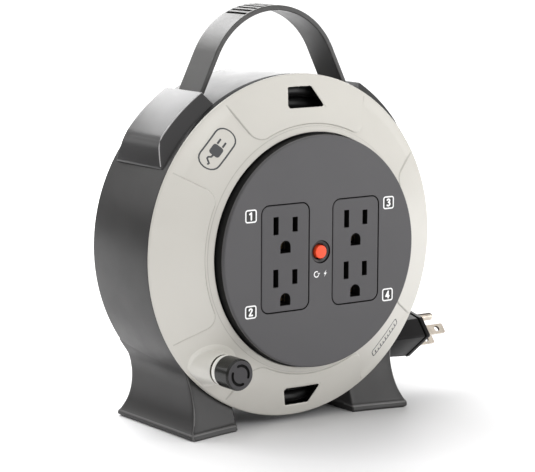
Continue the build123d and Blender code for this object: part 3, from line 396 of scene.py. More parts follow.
# near-black painted shade for slots, grooves, gaps and the walls of recesses
SHADE = plastic("recess_painted_shade", (0.004, 0.004, 0.004), 0.6, specular=0.15)
BUTTON = plastic("button_plastic", (0.93, 0.075, 0.018), 0.35, grain_depth=0.000004, spread=0.03)
PAINT = plastic("printed_white", (0.90, 0.90, 0.90), 0.5, grain_depth=0.000004, spread=0.01)
INK = plastic("printed_grey", (0.055, 0.058, 0.062), 0.5, grain_depth=0.000004, spread=0.04)
JACKET = plastic("cord_jacket", (0.008, 0.008, 0.008), 0.34, grain=1800, spread=0.1)
PLUG = plastic("plug_vinyl", (0.006, 0.0055, 0.006), 0.42, grain=1800, spread=0.1, specular=0.17)
CARRIER = plastic("carrier_phenolic", (0.02, 0.02, 0.02), 0.5)
NYLON = plastic("bush_nylon", (0.74, 0.72, 0.66), 0.4)
BLADE = metal("blade_nickel", (0.68, 0.61, 0.53), 0.22, (30, 300, 300), 0.2)
# painted dark reflection of the plug on the blades' narrow sides and the pin's upper side
PLUG_REFLECTION = metal("blade_painted_reflection", (0.06, 0.045, 0.035), 0.3, (30, 300, 300), 0.2)
BRASS = metal("contact_brass", (0.78, 0.58, 0.30), 0.28, (40, 300, 40))
STEEL = metal("screw_zinc", (0.62, 0.62, 0.60), 0.3)

# materials of the CAD nodes, by the record's slot
SLOT_MATERIALS = {
    "housing_grey": HOUSING, "ring_white": RING, "panel_grey": PANEL, "insert_grey": INSERT,
    "knob_black": KNOB, "button_red": BUTTON, "bezel_black": BEZEL, "cord_black": JACKET,
    "plug_black": PLUG, "blade_metal": BLADE, "contact_brass": BRASS, "screw_steel": STEEL,
    "bush_nylon": NYLON, "carrier_black": CARRIER,
    "wire_black": plastic("wire_black", (0.02, 0.02, 0.02), 0.4),
    "wire_white": plastic("wire_white", (0.75, 0.75, 0.73), 0.4),
    "wire_green": plastic("wire_green", (0.04, 0.30, 0.08), 0.4)}


def dress_cad_nodes():
    """Every node that stays on show gets its slot's procedural material."""
    for part in frame["record"]["subparts"]:
        mesh = frame["nodes"][part["node"]].data
        mesh.materials.clear()
        mesh.materials.append(SLOT_MATERIALS[part["material_slot"]])


# ---- camera, floor and light ----
def make_camera():
    yaw, pitch, roll = 0.617843, 0.158481, 0.004042
    forward = Vector((math.sin(yaw) * math.cos(pitch), math.cos(yaw) * math.cos(pitch), -math.sin(pitch)))
    level = Vector((math.cos(yaw), -math.sin(yaw), 0))
    over = level.cross(forward)
    right = math.cos(roll) * level + math.sin(roll) * over
    up = -math.sin(roll) * level + math.cos(roll) * over
    data = bpy.data.cameras.new("camera")
    data.lens, data.sensor_width = 153.118, 36.0
    data.clip_start, data.clip_end = 0.05, 50
    camera = add("camera", data)
    turn = Matrix((right, up, -forward)).transposed().to_4x4()
    camera.matrix_world = Matrix.Translation(at(-734.64, -983.26, 204.77)) @ turn
    bpy.context.scene.camera = camera


def apart(tree, place, centre):
    """Distance from a fixed point of the object's space."""
    gap = tree.nodes.new("ShaderNodeVectorMath")
    gap.operation = "DISTANCE"
    gap.inputs[1].default_value = centre
    tree.links.new(place, gap.inputs[0])
    return gap.outputs["Value"]


def times(tree, one, other):
    product = tree.nodes.new("ShaderNodeMath")
    product.operation = "MULTIPLY"
    tree.links.new(one, product.inputs[0])
    tree.links.new(other, product.inputs[1])
    return product.outputs["Value"]


def make_floor():
    """Pale floor with painted shade around the feet and on the left, and a painted glow farther out."""
    reach = 9.0
    corners = [(-reach, -reach, 0), (reach, -reach, 0), (reach, reach, 0), (-reach, reach, 0)]
    mesh = bpy.data.meshes.new("floor")
    mesh.from_pydata(corners, [], [(0, 1, 2, 3)])
    floor = add("floor", mesh)
    material, tree, shader, place = node_tree("pale_floor")
    near = span(tree, apart(tree, place, (0.06, -0.005, 0.0)), 0.5, 1.0, 0.0, 0.14)
    axes = tree.nodes.new("ShaderNodeSeparateXYZ")
    tree.links.new(place, axes.inputs["Vector"])
    side = span(tree, axes.outputs["X"], 0.4, 1.0, -0.62, -0.28)
    # painted shade: the floor's colour darkens near the feet and on the left
    colour = shades(tree, times(tree, near, side), ((0.0, 0.0, 0.0), (0.92, 0.92, 0.93)), 0.0, 1.0)
    tree.links.new(colour, shader.inputs["Base Color"])
    shader.inputs["Roughness"].default_value = 0.6
    shader.inputs["Specular IOR Level"].default_value = 0.3
    shader.inputs["Emission Color"].default_value = (1, 1, 1, 1)
    # painted glow that brightens the floor farther out
    glow = span(tree, apart(tree, place, (0.10, 0.05, 0.0)), 0.0, 0.4, 0.25, 1.3)
    glow_side = span(tree, axes.outputs["X"], 0.0, 1.0, -0.6, -0.25)
    tree.links.new(times(tree, glow, glow_side), shader.inputs["Emission Strength"])
    floor.data.materials.append(material)


def area_light(name, place, size, power):
    """A soft rectangle that faces the middle of the object."""
    data = bpy.data.lights.new(name, "AREA")
    data.shape, data.size, data.size_y = "RECTANGLE", size[0], size[1]
    data.energy = power
    light = add(name, data)
    light.location = place
    light.rotation_mode = "QUATERNION"
    light.rotation_quaternion = (Vector((0, 0, 0.12)) - Vector(place)).to_track_quat("-Z", "Y")


def make_world():
    """White tent: bright overhead, dimmer towards the horizon."""
    world = bpy.data.worlds.new("studio")
    world.use_nodes = True
    tree = world.node_tree
    place = tree.nodes.new("ShaderNodeTexCoord")
    axes = tree.nodes.new("ShaderNodeSeparateXYZ")
    strength = tree.nodes.new("ShaderNodeMapRange")
    strength.interpolation_type = "SMOOTHSTEP"
    for socket, value in zip(("From Min", "From Max", "To Min", "To Max"), (0.05, 0.95, 0.22, 1.15)):
        strength.inputs[socket].default_value = value
    tree.links.new(place.outputs["Generated"], axes.inputs["Vector"])
    tree.links.new(axes.outputs["Z"], strength.inputs["Value"])
    tree.links.new(strength.outputs["Result"], tree.nodes["Background"].inputs["Strength"])
    tree.nodes["Background"].inputs["Color"].default_value = (1.0, 0.995, 0.985, 1)
    bpy.context.scene.world = world


def make_lights():
    make_world()
    area_light("back_softbox", (0.66, 1.15, 0.52), (1.3, 0.9), 12.8)
    area_light("high_back_softbox", (-0.18, 0.95, 0.98), (0.95, 0.5), 9.0)
    area_light("right_softbox", (1.15, -0.75, 0.22), (0.7, 0.7), 4.7)
    area_light("front_softbox", (0.2, -1.2, 0.6), (0.5, 0.45), 4.2)
    area_light("left_back_card", (-0.72, 1.02, 0.5), (0.5, 0.4), 1.1)
    area_light("left_strip", (-0.95, -0.72, 0.75), (0.16, 0.7), 0.9)


# ---- cord ----
LEAD_ROUTE = [(2.0, -87.3), (22.0, -84.6), (44.0, -75.0), (62.0, EXIT_Z), (RELIEF_BACK_X, EXIT_Z)]
TAIL_DEPTH, TAIL_TOP = 66.5, -43.0
LAYER_R = (69.3, 76.9, 84.7)
LAYER_TURNS = (5.69, 5.57, 1.55)
COIL_FRONT, COIL_REAR, LOOSE_TURN = 24.8, 70.2, 30.0
POINTS_PER_TURN = 16
CROSSING = 0.4              # turns in which the last layer crosses to the front


def cord_curve(name, points, body, replaces):
    data = bpy.data.curves.new(name, "CURVE")
    data.dimensions = "3D"
    spline = data.splines.new("NURBS")
    spline.points.add(len(points) - 1)
    for point, place in zip(spline.points, points):
        point.co = (*at(*place), 1)
    spline.order_u = 3
    spline.use_endpoint_u = True
    spline.resolution_u = 6
    data.bevel_depth = CORD_R * MM
    data.bevel_resolution = 6
    data.use_fill_caps = True
    data.materials.append(JACKET)
    obj = add(name, data)
    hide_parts(*replaces)
    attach(obj, body)
    return obj


def coil_points():
    """The cord's tail out of the barrel, two full layers, and a last loose turn near the front."""
    points = [(0, TAIL_DEPTH, TAIL_TOP), (0, TAIL_DEPTH, TAIL_TOP - 9), (0, TAIL_DEPTH + 0.5, TAIL_TOP - 18)]
    stations = []
    first, second = LAYER_TURNS[:2]
    for turn in range(int(sum(LAYER_TURNS) * POINTS_PER_TURN) + 1):
        t = turn / POINTS_PER_TURN
        if t < first:
            stations.append((t, LAYER_R[0], COIL_REAR + (COIL_FRONT - COIL_REAR) * t / first))
        elif t < first + second:
            share = (t - first) / second
            stations.append((t, LAYER_R[1], COIL_FRONT + (COIL_REAR - COIL_FRONT) * share))
        else:
            across = smooth((t - first - second) / CROSSING)
            stations.append((t, LAYER_R[2], COIL_REAR + (LOOSE_TURN - COIL_REAR) * across))
    for i, (t, _, depth) in enumerate(stations[1:], 1):
        near = [stations[k][1] for k in range(max(0, i - 1), min(len(stations), i + 2))]
        x, z = polar(sum(near) / len(near) / math.cos(math.pi / POINTS_PER_TURN) ** 2, -90 + 360 * t)
        points.append((x, depth, z))
    return points


def make_cords():
    coil = cord_curve("wound_cord", coil_points(), "drum", ["cord_winding", "cord_tail"])
    route = [(x, MID_DEPTH, z) for x, z in LEAD_ROUTE]
    return coil, cord_curve("cord_to_plug", route, "housing", ["cord_lead"])


# ---- drum: dished ring ----
def ring_face(radius):
    return RING_FACE_IN + (RING_FACE_OUT - RING_FACE_IN) * (radius - RING_R_IN) / (RING_R_OUT - RING_R_IN)


def land_share(radius, degrees):
    """1 on a raised land, 0 in the low ground between, with a soft step at its rounded border."""
    off = math.radians(abs((degrees + 45) % 90 - 45))
    side = radius * math.sin(math.radians(LAND_HALF_ANGLE) - off)
    inner = radius - LAND_R
    if side < LAND_CORNER and inner < LAND_CORNER:
        depth = LAND_CORNER - math.hypot(LAND_CORNER - side, LAND_CORNER - inner)
    else:
        depth = min(side, inner)
    return smooth(depth / 0.8 + 0.5)


WINDOW = [(-7.4, 89.0), (8.2, 89.0), (13.4, 77.9), (-11.4, 77.9)]
WINDOW_OUTLINE = rounded(WINDOW[::-1], 1.3, 4)


def outside_distance(x, z, outline):
    """Distance from a point to an outline's edge."""
    best = 1e9
    for a, b in zip(outline, outline[1:] + outline[:1]):
        ax, az, dx, dz = a[0], a[1], b[0] - a[0], b[1] - a[1]
        t = max(0.0, min(1.0, ((x - ax) * dx + (z - az) * dz) / (dx * dx + dz * dz)))
        best = min(best, math.hypot(x - ax - t * dx, z - az - t * dz))
    return best


def ground_share(radius):
    """The low ground between the lands rises to nothing at the rim."""
    return smooth((95.2 - radius) / 8.0)


def ring_depth(radius, degrees):
    """Depth of the ring's front face, with its lands, inner steps and window lips."""
    depth = ring_face(radius)
    low = RECESS * (1 - land_share(radius, degrees)) * ground_share(radius)
    step = 0.35 * smooth((68.2 - radius) / 0.5 + 0.5)
    lip = 0.45 * smooth((66.9 - radius) / 0.5 + 0.5)
    depth += low - step - lip * 0.4
    x, z = polar(radius, degrees)
    if abs(x) < 14 and abs(z) > 76:
        px, pz = (x, z) if z > 0 else (-x, -z)
        depth += 0.55 * (1 - smooth(outside_distance(px, pz, WINDOW) / 1.0)) ** 2
    return depth


def make_ring():
    steps = 1440
    radii = [RING_R_IN + 0.9 + 0.3 * i for i in range(97)]
    radii = [RING_R_IN + v for v in (0.0, 0.12, 0.35, 0.6)] + radii
    rings = []
    edge = [(RING_R_OUT - 0.7, 0.0), (RING_R_OUT - 0.35, 0.08), (RING_R_OUT - 0.1, 0.3), (RING_R_OUT, 0.65)]
    shrink = {0: 0.7, 1: 0.35, 2: 0.1, 3: 0.02}
    for i in range(steps):
        degrees = 360 * i / steps
        c, s = polar(1.0, degrees)
        line = [(r, ring_depth(r, degrees) + shrink.get(k, 0)) for k, r in enumerate(radii)]
        line += [(r, ring_face(r) + more) for r, more in edge]
        line += [(RING_R_OUT, RING_BACK), (92.65, RING_BACK), (67.9, ring_face(67.9) + RING_THICK + 0.6),
                 (67.9, 20.0), (RING_R_IN, 20.0), (RING_R_IN, 12.0)]
        rings.append([(r * c, y, r * s) for r, y in line])
    ring = build("front_ring", lofted(rings, closed=True), sharp=30)
    cutters = []
    for turn in (1, -1):
        outline = [(x * turn, z * turn) for x, z in WINDOW_OUTLINE]
        cutters.append(build("window_cutter", prism(outline, 4, 40)))
    carve(ring, cutters)
    shade(ring.data, 30)
    dress(ring, "drum", RING, ["front_flange"])

    def on_border(x, y, z):
        radius, degrees = to_polar(x, z)
        land_side = 0.15 < land_share(radius, degrees) < 0.85 and radius < 93.5
        return y < ring_face(radius) + 1.5 and (land_side or abs(radius - 68.2) < 0.2)

    def on_wall(x, y, z):
        px, pz = (x, z) if z > 0 else (-x, -z)
        return abs(x) < 15 and abs(z) > 76 and outside_distance(px, pz, WINDOW_OUTLINE) < 0.04

    # painted shade along the land borders and the inner step
    paint(ring, RING_BORDER_SHADE, on_border)
    # painted shade on the walls of the two windows
    return paint(ring, SHADE, on_wall)


BOSS_LIMIT, BOSS_BLEND = 94.3, 0.55     # largest radius from the drum's axis, and width of the blend


def make_knob_boss():
    """Raised boss that flows out of the ring's dished face."""
    steps, rows = 96, 26
    rings = [[(KNOB_X, PAD_TOP, KNOB_Z)] * steps]
    for k in range(rows + 1):
        distance = 5.0 + 8.4 * k / rows
        ring = []
        for i in range(steps):
            dx, dz = polar(distance, 360 * i / steps)
            x, z = KNOB_X + dx, KNOB_Z + dz
            radius = math.hypot(x, z)
            face = ring_face(min(radius, RING_R_OUT - 0.5))
            ground = face + RECESS * 0.9 * ground_share(radius)
            wall = PAD_TOP + max(0.0, distance - 8.3) * 7.0 + 0.5 * smooth((distance - 7.7) / 0.8)
            blend = -math.log(math.exp(-wall / BOSS_BLEND) + math.exp(-ground / BOSS_BLEND)) * BOSS_BLEND
            depth = max(PAD_TOP, blend) if wall > PAD_TOP + 0.6 else wall
            depth += 0.12 * smooth((distance - 12.0) / 1.4)
            if radius > BOSS_LIMIT:
                x, z = x * BOSS_LIMIT / radius, z * BOSS_LIMIT / radius
                depth = max(depth, ring_face(BOSS_LIMIT) + 0.1)
            ring.append((x, depth, z))
        rings.append(ring)
    # the boss gets a lighter copy of the ring's colour as painted light
    boss = build("knob_boss", lofted(rings, capped=False), "drum", BOSS, sharp=60)
    return paint(boss, GROOVE, lambda x, y, z: math.hypot(x - KNOB_X, z - KNOB_Z) < 8.25)


# ---- drum: outlet panel ----
def make_panel():
    outline = rounded([(0, 0), (PANEL_R, 0), (PANEL_R, PANEL_BACK), (PANEL_R - 2.4, PANEL_BACK),
                       (PANEL_R - 2.4, PANEL_THICK), (0, PANEL_THICK)], [0, 1.1, 0.2, 0.2, 0.4, 0], 5)
    outline.insert(next(i for i, (_, y) in enumerate(outline) if y > 2.4), (PANEL_R, 2.4))
    panel = build("outlet_panel_face", turned(outline, steps=240))
    opening = rounded_box(INSERT_SIZE[0] + 1.2, INSERT_SIZE[1] + 1.2, 5.1)
    openings = [prism(moved(opening, x, INSERT_MIDDLE), -2, 5) for x in (-OUTLET_X, OUTLET_X)]
    cutters = [build("insert_cutter", shape) for shape in openings]
    cutters.append(build("bezel_cutter", prism([polar(6.35, 360 * i / 64) for i in range(64)], -2, 5)))
    carve(panel, cutters)
    dress(panel, "drum", PANEL, ["outlet_panel"])
    # painted shade on the walls of the openings and on the deeper part of the outer side wall
    paint(panel, SHADE, lambda x, y, z: y > (1.0 if math.hypot(x, z) < 60 else 2.6))
    return soften(panel, 0.22, 2, 60, 35)


def outlet_holes(x, z):
    """Cutters for one outlet: long neutral slot, shorter line slot and a rounded ground hole."""
    neutral = prism(moved(rounded_box(3.4, 9.8, 0.3, 2), x - 6.35, z), -2, 8)
    line = prism(moved(rounded_box(3.4, 8.1, 0.3, 2), x + 6.35, z), -2, 8)
    arch = [polar(3.4, 180 * k / 14) for k in range(15)]
    arch += [(-3.4, -3.2), (-3.2, -3.4), (3.2, -3.4), (3.4, -3.2)]
    ground = prism(moved(arch, x, z - 11.9), -2, 8)
    return [build("hole_cutter", shape) for shape in (neutral, line, ground)]


def make_inserts():
    for side, x in (("left", -OUTLET_X), ("right", OUTLET_X)):
        outline = moved(rounded_box(*INSERT_SIZE, INSERT_CORNER, 8), x, INSERT_MIDDLE)
        insert = build("outlet_face_" + side, prism(outline, 0, INSERT_BACK, 0.45, 0.2))
        cutters = [hole for z in OUTLET_ROWS for hole in outlet_holes(x, z)]
        carve(insert, cutters)
        soften(insert, 0.2, 2, 70, 35)
        dress(insert, "drum", INSERT, ["outlet_insert_" + side])
        # painted shade in the slots and ground holes
        paint(insert, SHADE, lambda x, y, z: y > 0.5)


def make_breaker():
    bezel = rounded([(4.35, 1.3), (6.2, 0.5), (6.2, 2.7), (5.8, 2.7), (5.8, 9.0), (4.35, 9.0)],
                    [0.2, 0.4, 0.1, 0.1, 0.2, 0.1], 3)
    build("breaker_ring", turned(bezel, steps=72), "drum", BEZEL, ["breaker_bezel"])
    cap = rounded([(0, -0.5), (3.7, -0.5), (3.7, 15.0), (2.0, 15.0), (2.0, 18.0), (0, 18.0)],
                  [0, 0.6, 0.2, 0.1, 0.2, 0], 6)
    build("reset_cap", turned(cap, steps=72), "button", BUTTON, ["reset_button"])


# ---- printed marks ----
PRINT_FRONT, PRINT_BACK = -0.05, 0.05


def printed(outline, lift=0.0):
    """An outline as a thin solid."""
    return prism(outline, PRINT_FRONT - lift, PRINT_BACK)


def printed_frame(width, height, radius, stroke):
    """A rounded rectangle's border."""
    outer = dense(rounded_box(width, height, radius, 5))
    inner = inset(outer, stroke)
    sides = (outer, PRINT_FRONT), (inner, PRINT_FRONT), (inner, PRINT_BACK), (outer, PRINT_BACK)
    return lofted([[(x, y, z) for x, z in outline] for outline, y in sides], closed=True)


def printed_curve(path, width):
    """A smooth line of constant width with pointed ends."""
    points = [Vector(p) for p in path]
    left, right = [], []
    for i, p in enumerate(points):
        a = points[max(0, i - 1)]
        b = points[min(len(points) - 1, i + 1)]
        along = (b - a).normalized()
        normal = Vector((-along.y, along.x)) * width / 2
        left.append(tuple(p + normal))
        right.append(tuple(p - normal))
    first = (points[0] - points[1]).normalized() * width / 2
    last = (points[-1] - points[-2]).normalized() * width / 2
    return printed(right + [tuple(points[-1] + last)] + left[::-1] + [tuple(points[0] + first)])


def printed_line(path, width):
    """A bent line made of straight round-ended pieces."""
    pairs = enumerate(zip(path, path[1:]))
    return joined([printed(round_ended(pair, width), 0.001 * i) for i, pair in pairs])


NUMERALS = {
    "1": [(-0.8, 1.15), (0.2, 1.8), (0.2, -1.85)],
    "2": [(-1.0, 1.1), (-0.75, 1.6), (-0.2, 1.85), (0.4, 1.75), (0.8, 1.3), (0.75, 0.7), (0.2, -0.1),
          (-0.95, -1.75), (1.05, -1.75)],
    "3": [(-0.95, 1.5), (-0.3, 1.85), (0.4, 1.75), (0.8, 1.25), (0.6, 0.55), (-0.1, 0.15), (0.65, -0.15),
          (0.95, -0.8), (0.6, -1.5), (-0.2, -1.8), (-1.0, -1.5)],
    "4": [(0.5, -1.9), (0.5, 1.8), (-1.1, -0.85), (1.1, -0.85)],
}


def placed(geometry, x, z, degrees=0.0, lean=None):
    """Moves thin marks in the front view; lean gives the depth of the surface they lie on."""
    c, s = polar(1.0, degrees)
    verts, faces = geometry
    result = []
    for px, y, pz in verts:
        wx, wz = x + px * c - pz * s, z + px * s + pz * c
        result.append((wx, y + (lean(wx, wz) if lean else 0.0), wz))
    return result, faces


def joined(geometries):
    verts, faces = [], []
    for some_verts, some_faces in geometries:
        start = len(verts)
        verts += list(some_verts)
        faces += [tuple(i + start for i in f) for f in some_faces]
    return verts, faces


def make_numbers():
    places = {"1": (-46.7, 23.5), "2": (-46.7, -28.6), "3": (46.7, 23.5), "4": (46.7, -28.6)}
    for numeral, (x, z) in places.items():
        marks = [printed_frame(7.5, 7.2, 1.5, 0.75), printed_line(NUMERALS[numeral], 0.95)]
        build("outlet_number_" + numeral, placed(joined(marks), x, z), "drum", PAINT)
        ground = printed(rounded_box(6.4, 6.1, 1.0), -0.02)
        build("number_ground_" + numeral, placed(ground, x, z), "drum", BEZEL)


def make_reset_mark():
    """Reset arrow and a bolt under the button."""
    arrow = [polar(1.55, a) for a in range(60, 371, 20)]
    tip = [(2.5, 0.55), (1.55, -0.75), (0.75, 0.6)]
    bolt = [(0.75, 2.0), (-1.0, -0.35), (0.0, -0.3), (-0.75, -2.0), (1.1, 0.4), (0.1, 0.35)]
    reset = joined([printed_curve(arrow, 0.55), printed(tip[::-1])])
    marks = [placed(reset, -2.9, -12.2), placed(printed(bolt), 3.0, -12.2)]
    build("reset_mark", joined(marks), "drum", PAINT)


def on_ring(x, z):
    """Depth of the ring's low ground under a printed mark."""
    return ring_depth(*to_polar(x, z))


def make_ring_marks():
    """A plug pictogram in a capsule, and a row of ticks: generic marks in place of the maker's."""
    x, z = polar(81.5, 134)
    marks = [printed_frame(25.5, 11.6, 5.7, 0.75)]
    marks.append(printed(dense(moved(rounded_box(6.2, 5.6, 1.4, 3), -1.2, 0))))
    marks += [printed(dense(moved(rounded_box(3.4, 0.95, 0.3, 2), 4.0, dz))) for dz in (-1.5, 1.5)]
    tail = [(-4.4, 0), (-5.6, 0.15), (-6.6, 1.2), (-7.6, 1.3), (-8.4, 0.2), (-9.2, -0.9), (-10.0, -0.6)]
    marks.append(printed_curve(tail, 0.95))
    build("plug_pictogram", placed(joined(marks), x, z, 46, on_ring), "drum", INK)
    x, z = polar(83.2, -44)
    ticks = [printed_frame(25.0, 5.6, 1.6, 0.6)]
    for i in range(9):
        height = 2.6 if i % 2 == 0 else 1.5
        ticks.append(printed(moved(rounded_box(0.7, height, 0.2, 2), -9.6 + 2.4 * i, -2.0 + height / 2)))
    build("length_ticks", placed(joined(ticks), x, z, 46, on_ring), "drum", INK)


def dense(outline, longest=0.8):
    """Adds points on long sides so that a mark can follow a curved surface."""
    result = []
    for a, b in zip(outline, outline[1:] + outline[:1]):
        pieces = max(1, math.ceil(math.dist(a, b) / longest))
        result += [(a[0] + (b[0] - a[0]) * k / pieces, a[1] + (b[1] - a[1]) * k / pieces)
                   for k in range(pieces)]
    return result


# ---- winding knob ----
def make_knob():
    body = rounded([(0, KNOB_FRONT), (KNOB_R - 0.9, KNOB_FRONT), (KNOB_R, KNOB_FRONT + 1.3),
                    (KNOB_R, KNOB_BACK), (3.2, KNOB_BACK), (3.2, PAD_TOP + 6.2), (0, PAD_TOP + 6.2)],
                   [0, 0.5, 0.6, 0.5, 0.1, 0.2, 0], 4)
    knob = build("knob_grip", turned(body, KNOB_X, KNOB_Z, 120))
    cutters = []
    for middle in (45, 225):
        arc = [polar(5.2, middle - 63 + 126 * k / 24) for k in range(25)]
        groove = moved(round_ended(arc, 1.55), KNOB_X, KNOB_Z)
        cutters.append(build("arc_cutter", prism(groove, KNOB_FRONT - 1, KNOB_FRONT + 0.9)))
    carve(knob, cutters)
    soften(knob, 0.15, 2, 50, 35)
    dress(knob, "knob", KNOB, ["crank_knob"])

    def from_axis(x, z):
        return math.hypot(x - KNOB_X, z - KNOB_Z)

    # painted light: the front face is lighter than the knob's side
    paint(knob, KNOB_FACE, lambda x, y, z: y < KNOB_FRONT + 0.25 and from_axis(x, z) < KNOB_R - 0.8)
    # painted shade in the two arc grooves of the face
    paint(knob, SHADE, lambda x, y, z: KNOB_FRONT + 0.1 < y < KNOB_FRONT + 1.3 and from_axis(x, z) < 7.0)
    collar = rounded([(3.3, 3.3), (8.35, 3.3), (8.35, 6.2), (7.3, 6.35), (7.3, PAD_TOP), (5.1, PAD_TOP),
                      (5.1, 11.0), (3.3, 11.0)], [0.2, 0.4, 0.35, 0.15, 0.1, 0.1, 0.2, 0.2], 3)
    neck = turned(collar, KNOB_X, KNOB_Z, 96)
    neck = build("knob_neck", neck, "drum", COLLAR, ["knob_collar"])
    paint(neck, GROOVE, lambda x, y, z: y > 6.3)


def round_ended(path, width):
    """Outline of a line with round ends."""
    points = [Vector(p) for p in path]
    outline = []
    for sign, line in ((-1, points), (1, points[::-1])):
        for i, p in enumerate(line):
            along = (line[min(i + 1, len(line) - 1)] - line[max(i - 1, 0)]).normalized()
            outline.append(tuple(p + Vector((along.y, -along.x)) * width / 2))
        end, along = line[-1], (line[-1] - line[-2]).normalized()
        side = Vector((along.y, -along.x))
        for k in range(1, 6):
            a = math.pi * k / 6
            outline.append(tuple(end + (side * math.cos(a) + along * math.sin(a)) * width / 2))
    return outline


# ---- housing ----
def band_radius(depth):
    share = (depth - BAND_FRONT) / (BAND_BACK - BAND_FRONT)
    return BAND_R_FRONT + (BAND_R_BACK - BAND_R_FRONT) * share


# height and half width of the feet's outer side
FOOT_SIDE = [(-99.6, 72.7), (-98.9, 73.7), (-97.7, 74.2), (-96.4, 74.1), (-94.0, 72.9), (-91.0, 71.6),
             (-88.0, 70.6), (-84.0, 69.8), (-80.0, 69.4), (-76.0, 69.35), (-72.0, 69.6), (-68.0, 70.3),
             (-65.0, 71.0), (-62.5, 71.9), (-60.5, 73.15), (-58.0, 74.9), (-54.0, 77.6)]


def foot_outer_x(z):
    """Outer side of the right foot at a height: a concave sweep from the band to a blunt toe."""
    if z <= FOOT_SIDE[0][0]:
        return FOOT_SIDE[0][1]
    for i in range(len(FOOT_SIDE) - 1):
        (z0, x0), (z1, x1) = FOOT_SIDE[i:i + 2]
        if z <= z1:
            before, after = FOOT_SIDE[max(0, i - 1)], FOOT_SIDE[min(len(FOOT_SIDE) - 1, i + 2)]
            t, gap = (z - z0) / (z1 - z0), z1 - z0
            slope0, slope1 = (x1 - before[1]) / (z1 - before[0]), (after[1] - x0) / (after[0] - z0)
            return (x0 * (1 + 2 * t) * (1 - t) ** 2 + x1 * t * t * (3 - 2 * t)
                    + gap * (slope0 * t * (1 - t) ** 2 - slope1 * t * t * (1 - t)))
    return FOOT_SIDE[-1][1]


def foot_front(radius):
    """Depth of the feet's flared front face at a radius from the drum's axis."""
    return BAND_FRONT - 0.3 - 0.43 * (radius - FOOT_FRONT_R)


def foot_back(radius):
    """Depth of their flared back face."""
    return 84.1 + 0.01055 * max(0.0, radius - FOOT_FRONT_R) ** 2


def foot_section():
    """Foot's horizontal section in millimetres of a nominal 33 by 75 rectangle, as shares."""
    width, depth = 33.0, 75.0
    line = rounded([(0, 0), (width, 0), (width, depth), (0, depth)], [1.0, 1.6, 0.4, 0.6], 5)
    return [(x / width, y / depth) for x, y in dense(line, 3.0)]


SECTION = foot_section()
# a foot's lowest levels above the floor, and the number of equal steps above them
PLINTH, FOOT_STEPS = [0.0, 0.15, 0.4, 0.75, 1.1, 1.6, 2.2, 2.8, 3.3, 3.8, 4.4, 5.2], 40


def make_foot(side):
    levels = range(len(PLINTH) + FOOT_STEPS)
    return lofted([[foot_column_at(share, level, side) for share in SECTION] for level in levels])


def foot_column_at(share, level, side):
    x_share, y_share = share

    def x_at(z):
        return FOOT_INNER_X + (foot_outer_x(z) - FOOT_INNER_X) * x_share

    low, high = FLOOR_Z, -40.0
    for _ in range(30):
        middle = (low + high) / 2
        if math.hypot(x_at(middle), middle) > FOOT_TOP_R:
            low = middle
        else:
            high = middle
    extra = max(0, level + 1 - len(PLINTH)) / FOOT_STEPS
    z = FLOOR_Z + (PLINTH[min(level, len(PLINTH) - 1)] * (1 - extra) + (low - FLOOR_Z) * extra)
    x = x_at(z)
    radius = math.hypot(x, z)
    front, back = foot_front(radius), foot_back(radius)
    y = front + (back - front) * y_share
    rise = z - FLOOR_Z
    swell = 0.5 * (1 - smooth((rise - 3.4) / 0.9)) - 0.9 * (1 - smooth(rise / 1.2)) ** 2
    y += swell * (y_share * 2 - 1)
    x += (swell * 0.5 + 0.1) * (x_share * 2 - 1)
    return x * side, y, z


def gap_shadow(degrees):
    """How far back the painted shadow on the band under the ring's rim reaches, at the top of the band only."""
    return 4.2 * smooth((math.cos(math.radians(degrees - 95)) - 0.72) / 0.2)


def make_housing():
    back = SPLIT_DEPTH - 0.15
    profile = rounded([(BAND_R_INSIDE, BAND_FRONT), (BAND_R_FRONT, BAND_FRONT),
                       (band_radius(SPLIT_DEPTH), back), (BAND_R_INSIDE, back)], [0.4, 0.7, 0.25, 0.2], 4)
    steps, rings = 360, []
    front_edge = next(i for i, (r, y) in enumerate(profile) if r > 95 and y > BAND_FRONT + 0.6)
    for i in range(steps):
        c, s = polar(1.0, 360 * i / steps)
        depth = BAND_FRONT + 0.9 + gap_shadow(360 * i / steps)
        line = profile[:front_edge + 1] + [(band_radius(depth), depth)] + profile[front_edge + 1:]
        rings.append([(r * c, y, r * s) for r, y in line])
    shell = build("housing_band", lofted(rings, closed=True), "housing", HOUSING,
                  ["housing_shell"])

    def in_gap(x, y, z):
        radius, degrees = to_polar(x, z)
        shadow = gap_shadow(degrees)
        return shadow > 0.3 and BAND_FRONT + 0.5 < y < BAND_FRONT + 0.85 + shadow / 2 and radius > 95

    def on_highlit_edge(x, y, z):
        """Painted highlight on the plinth's upper edge and on the corner between the front and the outer side."""
        on_plinth = 2.5 < z - FLOOR_Z < 4.0 and (y < 30 or abs(x) > 60)
        at_side = abs(abs(x) - foot_outer_x(z)) < 0.75
        return on_plinth or z < -66 and at_side and y < foot_front(math.hypot(x, z)) + 0.6

    # painted shadow on the band just behind the ring's rim, at the top
    paint(shell, SHADE, in_gap)
    for side, name in ((1, "foot_right"), (-1, "foot_left")):
        foot = build(name, make_foot(side), "housing", HOUSING, sharp=38)
        blend_normals(foot.data)
        # painted highlight on the plinth's upper edge and the front-outer corner
        paint(foot, LIP, on_highlit_edge)


